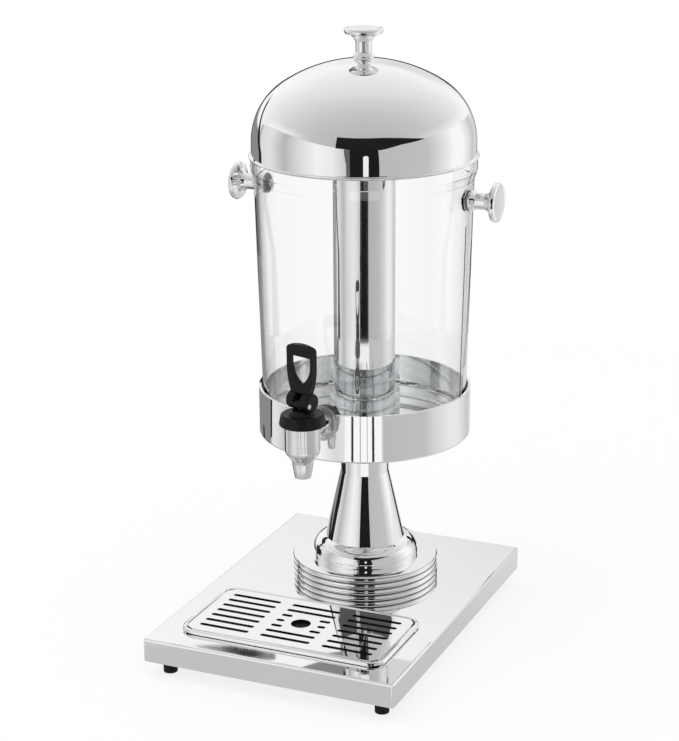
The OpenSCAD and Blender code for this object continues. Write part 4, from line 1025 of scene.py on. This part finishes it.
# %% Outlines of the holes
SLOT_L, SLOT_W, SLOT_PITCH, BANK_PITCH = 52, 5, 12.4, 64.6
SLOT_STEPS = 8
ROWS_EACH_WAY = 3
DRAIN_R, DRAIN_RING_R = 9.8, 17.5
DRAIN_STEP = 6


def slot_outline(left, right, y):
    """Stadium from left to right."""
    radius = SLOT_W / 2
    turns = [math.radians(t) for t in fan(-90, 90, SLOT_STEPS)]
    end = [(right - radius + radius * math.cos(t), y + radius * math.sin(t)) for t in turns]
    start = [(left + radius - radius * math.cos(t), y - radius * math.sin(t)) for t in turns]
    return end + start


drain_turns = [math.radians(t) for t in range(0, 360, DRAIN_STEP)]
holes = [[(DRAIN_R * math.cos(t), DRAIN_R * math.sin(t)) for t in drain_turns]]
for row in range(-ROWS_EACH_WAY, ROWS_EACH_WAY + 1):
    y = row * SLOT_PITCH
    for bank in (-1, 1):
        x = bank * BANK_PITCH
        holes.append(slot_outline(x - SLOT_L / 2, x + SLOT_L / 2, y))
    nearest = max(0, abs(y) - SLOT_W / 2)
    if nearest > DRAIN_RING_R:
        holes.append(slot_outline(-SLOT_L / 2, SLOT_L / 2, y))
        continue
    stop = math.sqrt(DRAIN_RING_R ** 2 - nearest ** 2)
    holes.append(slot_outline(-SLOT_L / 2, -stop, y))
    holes.append(slot_outline(stop, SLOT_L / 2, y))
print("holes in the grille:", len(holes))

# %% Punched plate with a turned-down edge
GRILLE_HALVES = (100.7, 50.2, 10.2)
GRILLE_Z, GRILLE_T = 42, 0.8
EDGE_FOOT, EDGE_LAP = 39.7, 0.1
sheet = bpy.data.curves.new("grille_sheet", "CURVE")
sheet.dimensions = "2D"
sheet.fill_mode = "BOTH"
sheet.extrude = GRILLE_T / 2 * MM
for loop in [rounded_rectangle(*GRILLE_HALVES)] + holes:
    spline = sheet.splines.new("POLY")
    spline.points.add(len(loop) - 1)
    for point, (x, y) in zip(spline.points, loop):
        point.co = (x * MM, y * MM, 0, 1)
    spline.use_cyclic_u = True
punched = bpy.data.objects.new("grille_sheet", sheet)
bpy.context.scene.collection.objects.link(punched)
bpy.context.view_layer.update()
flat = bpy.data.meshes.new_from_object(punched.evaluated_get(bpy.context.evaluated_depsgraph_get()))
bpy.data.objects.remove(punched)
bm = bmesh.new()
bm.from_mesh(flat)
bmesh.ops.remove_doubles(bm, verts=bm.verts, dist=SAME_POINT)
bm.transform(Matrix.Translation((0, TRAY_Y * MM, (GRILLE_Z + GRILLE_T / 2) * MM)))
edge_top = GRILLE_Z + EDGE_LAP
EDGE = [(0, edge_top), (0, EDGE_FOOT), (-GRILLE_T, EDGE_FOOT), (-GRILLE_T, edge_top)]
carry_round(bm, EDGE, *GRILLE_HALVES, closed=True)
new_piece("punched_grille", bm, "grille", polished_steel, "drip_grille")

# %% [markdown]
# ## Soft edges
# No moulded or folded edge is razor-sharp. The solids arrive with their faces split at every border, so
# a Weld joins them first; then a small Bevel rounds each sharp edge, and weighted normals keep the flat
# faces flat. Modifiers leave the solid's own mesh as it is.

# %% Weld, bevel and weighted normals
EDGE_ROUND = {
    "tap_lever": 0.7, "tap_bonnet": 0.6, "base_pan": 0.5, "tap_back_nut": 0.4, "tap_lock_nut": 0.4}
WELD_GAP = 0.02 * MM
ROUND_SEGMENTS = 2
for name, width in EDGE_ROUND.items():
    solid = nodes[name]
    weld = solid.modifiers.new("join_faces", "WELD")
    weld.merge_threshold = WELD_GAP
    soften = solid.modifiers.new("soft_edge", "BEVEL")
    soften.limit_method = "ANGLE"
    soften.angle_limit = SHARP_ANGLE
    soften.width = width * MM
    soften.segments = ROUND_SEGMENTS
    even = solid.modifiers.new("flat_faces", "WEIGHTED_NORMAL")
    even.keep_sharp = True
print("edges softened:", len(EDGE_ROUND))
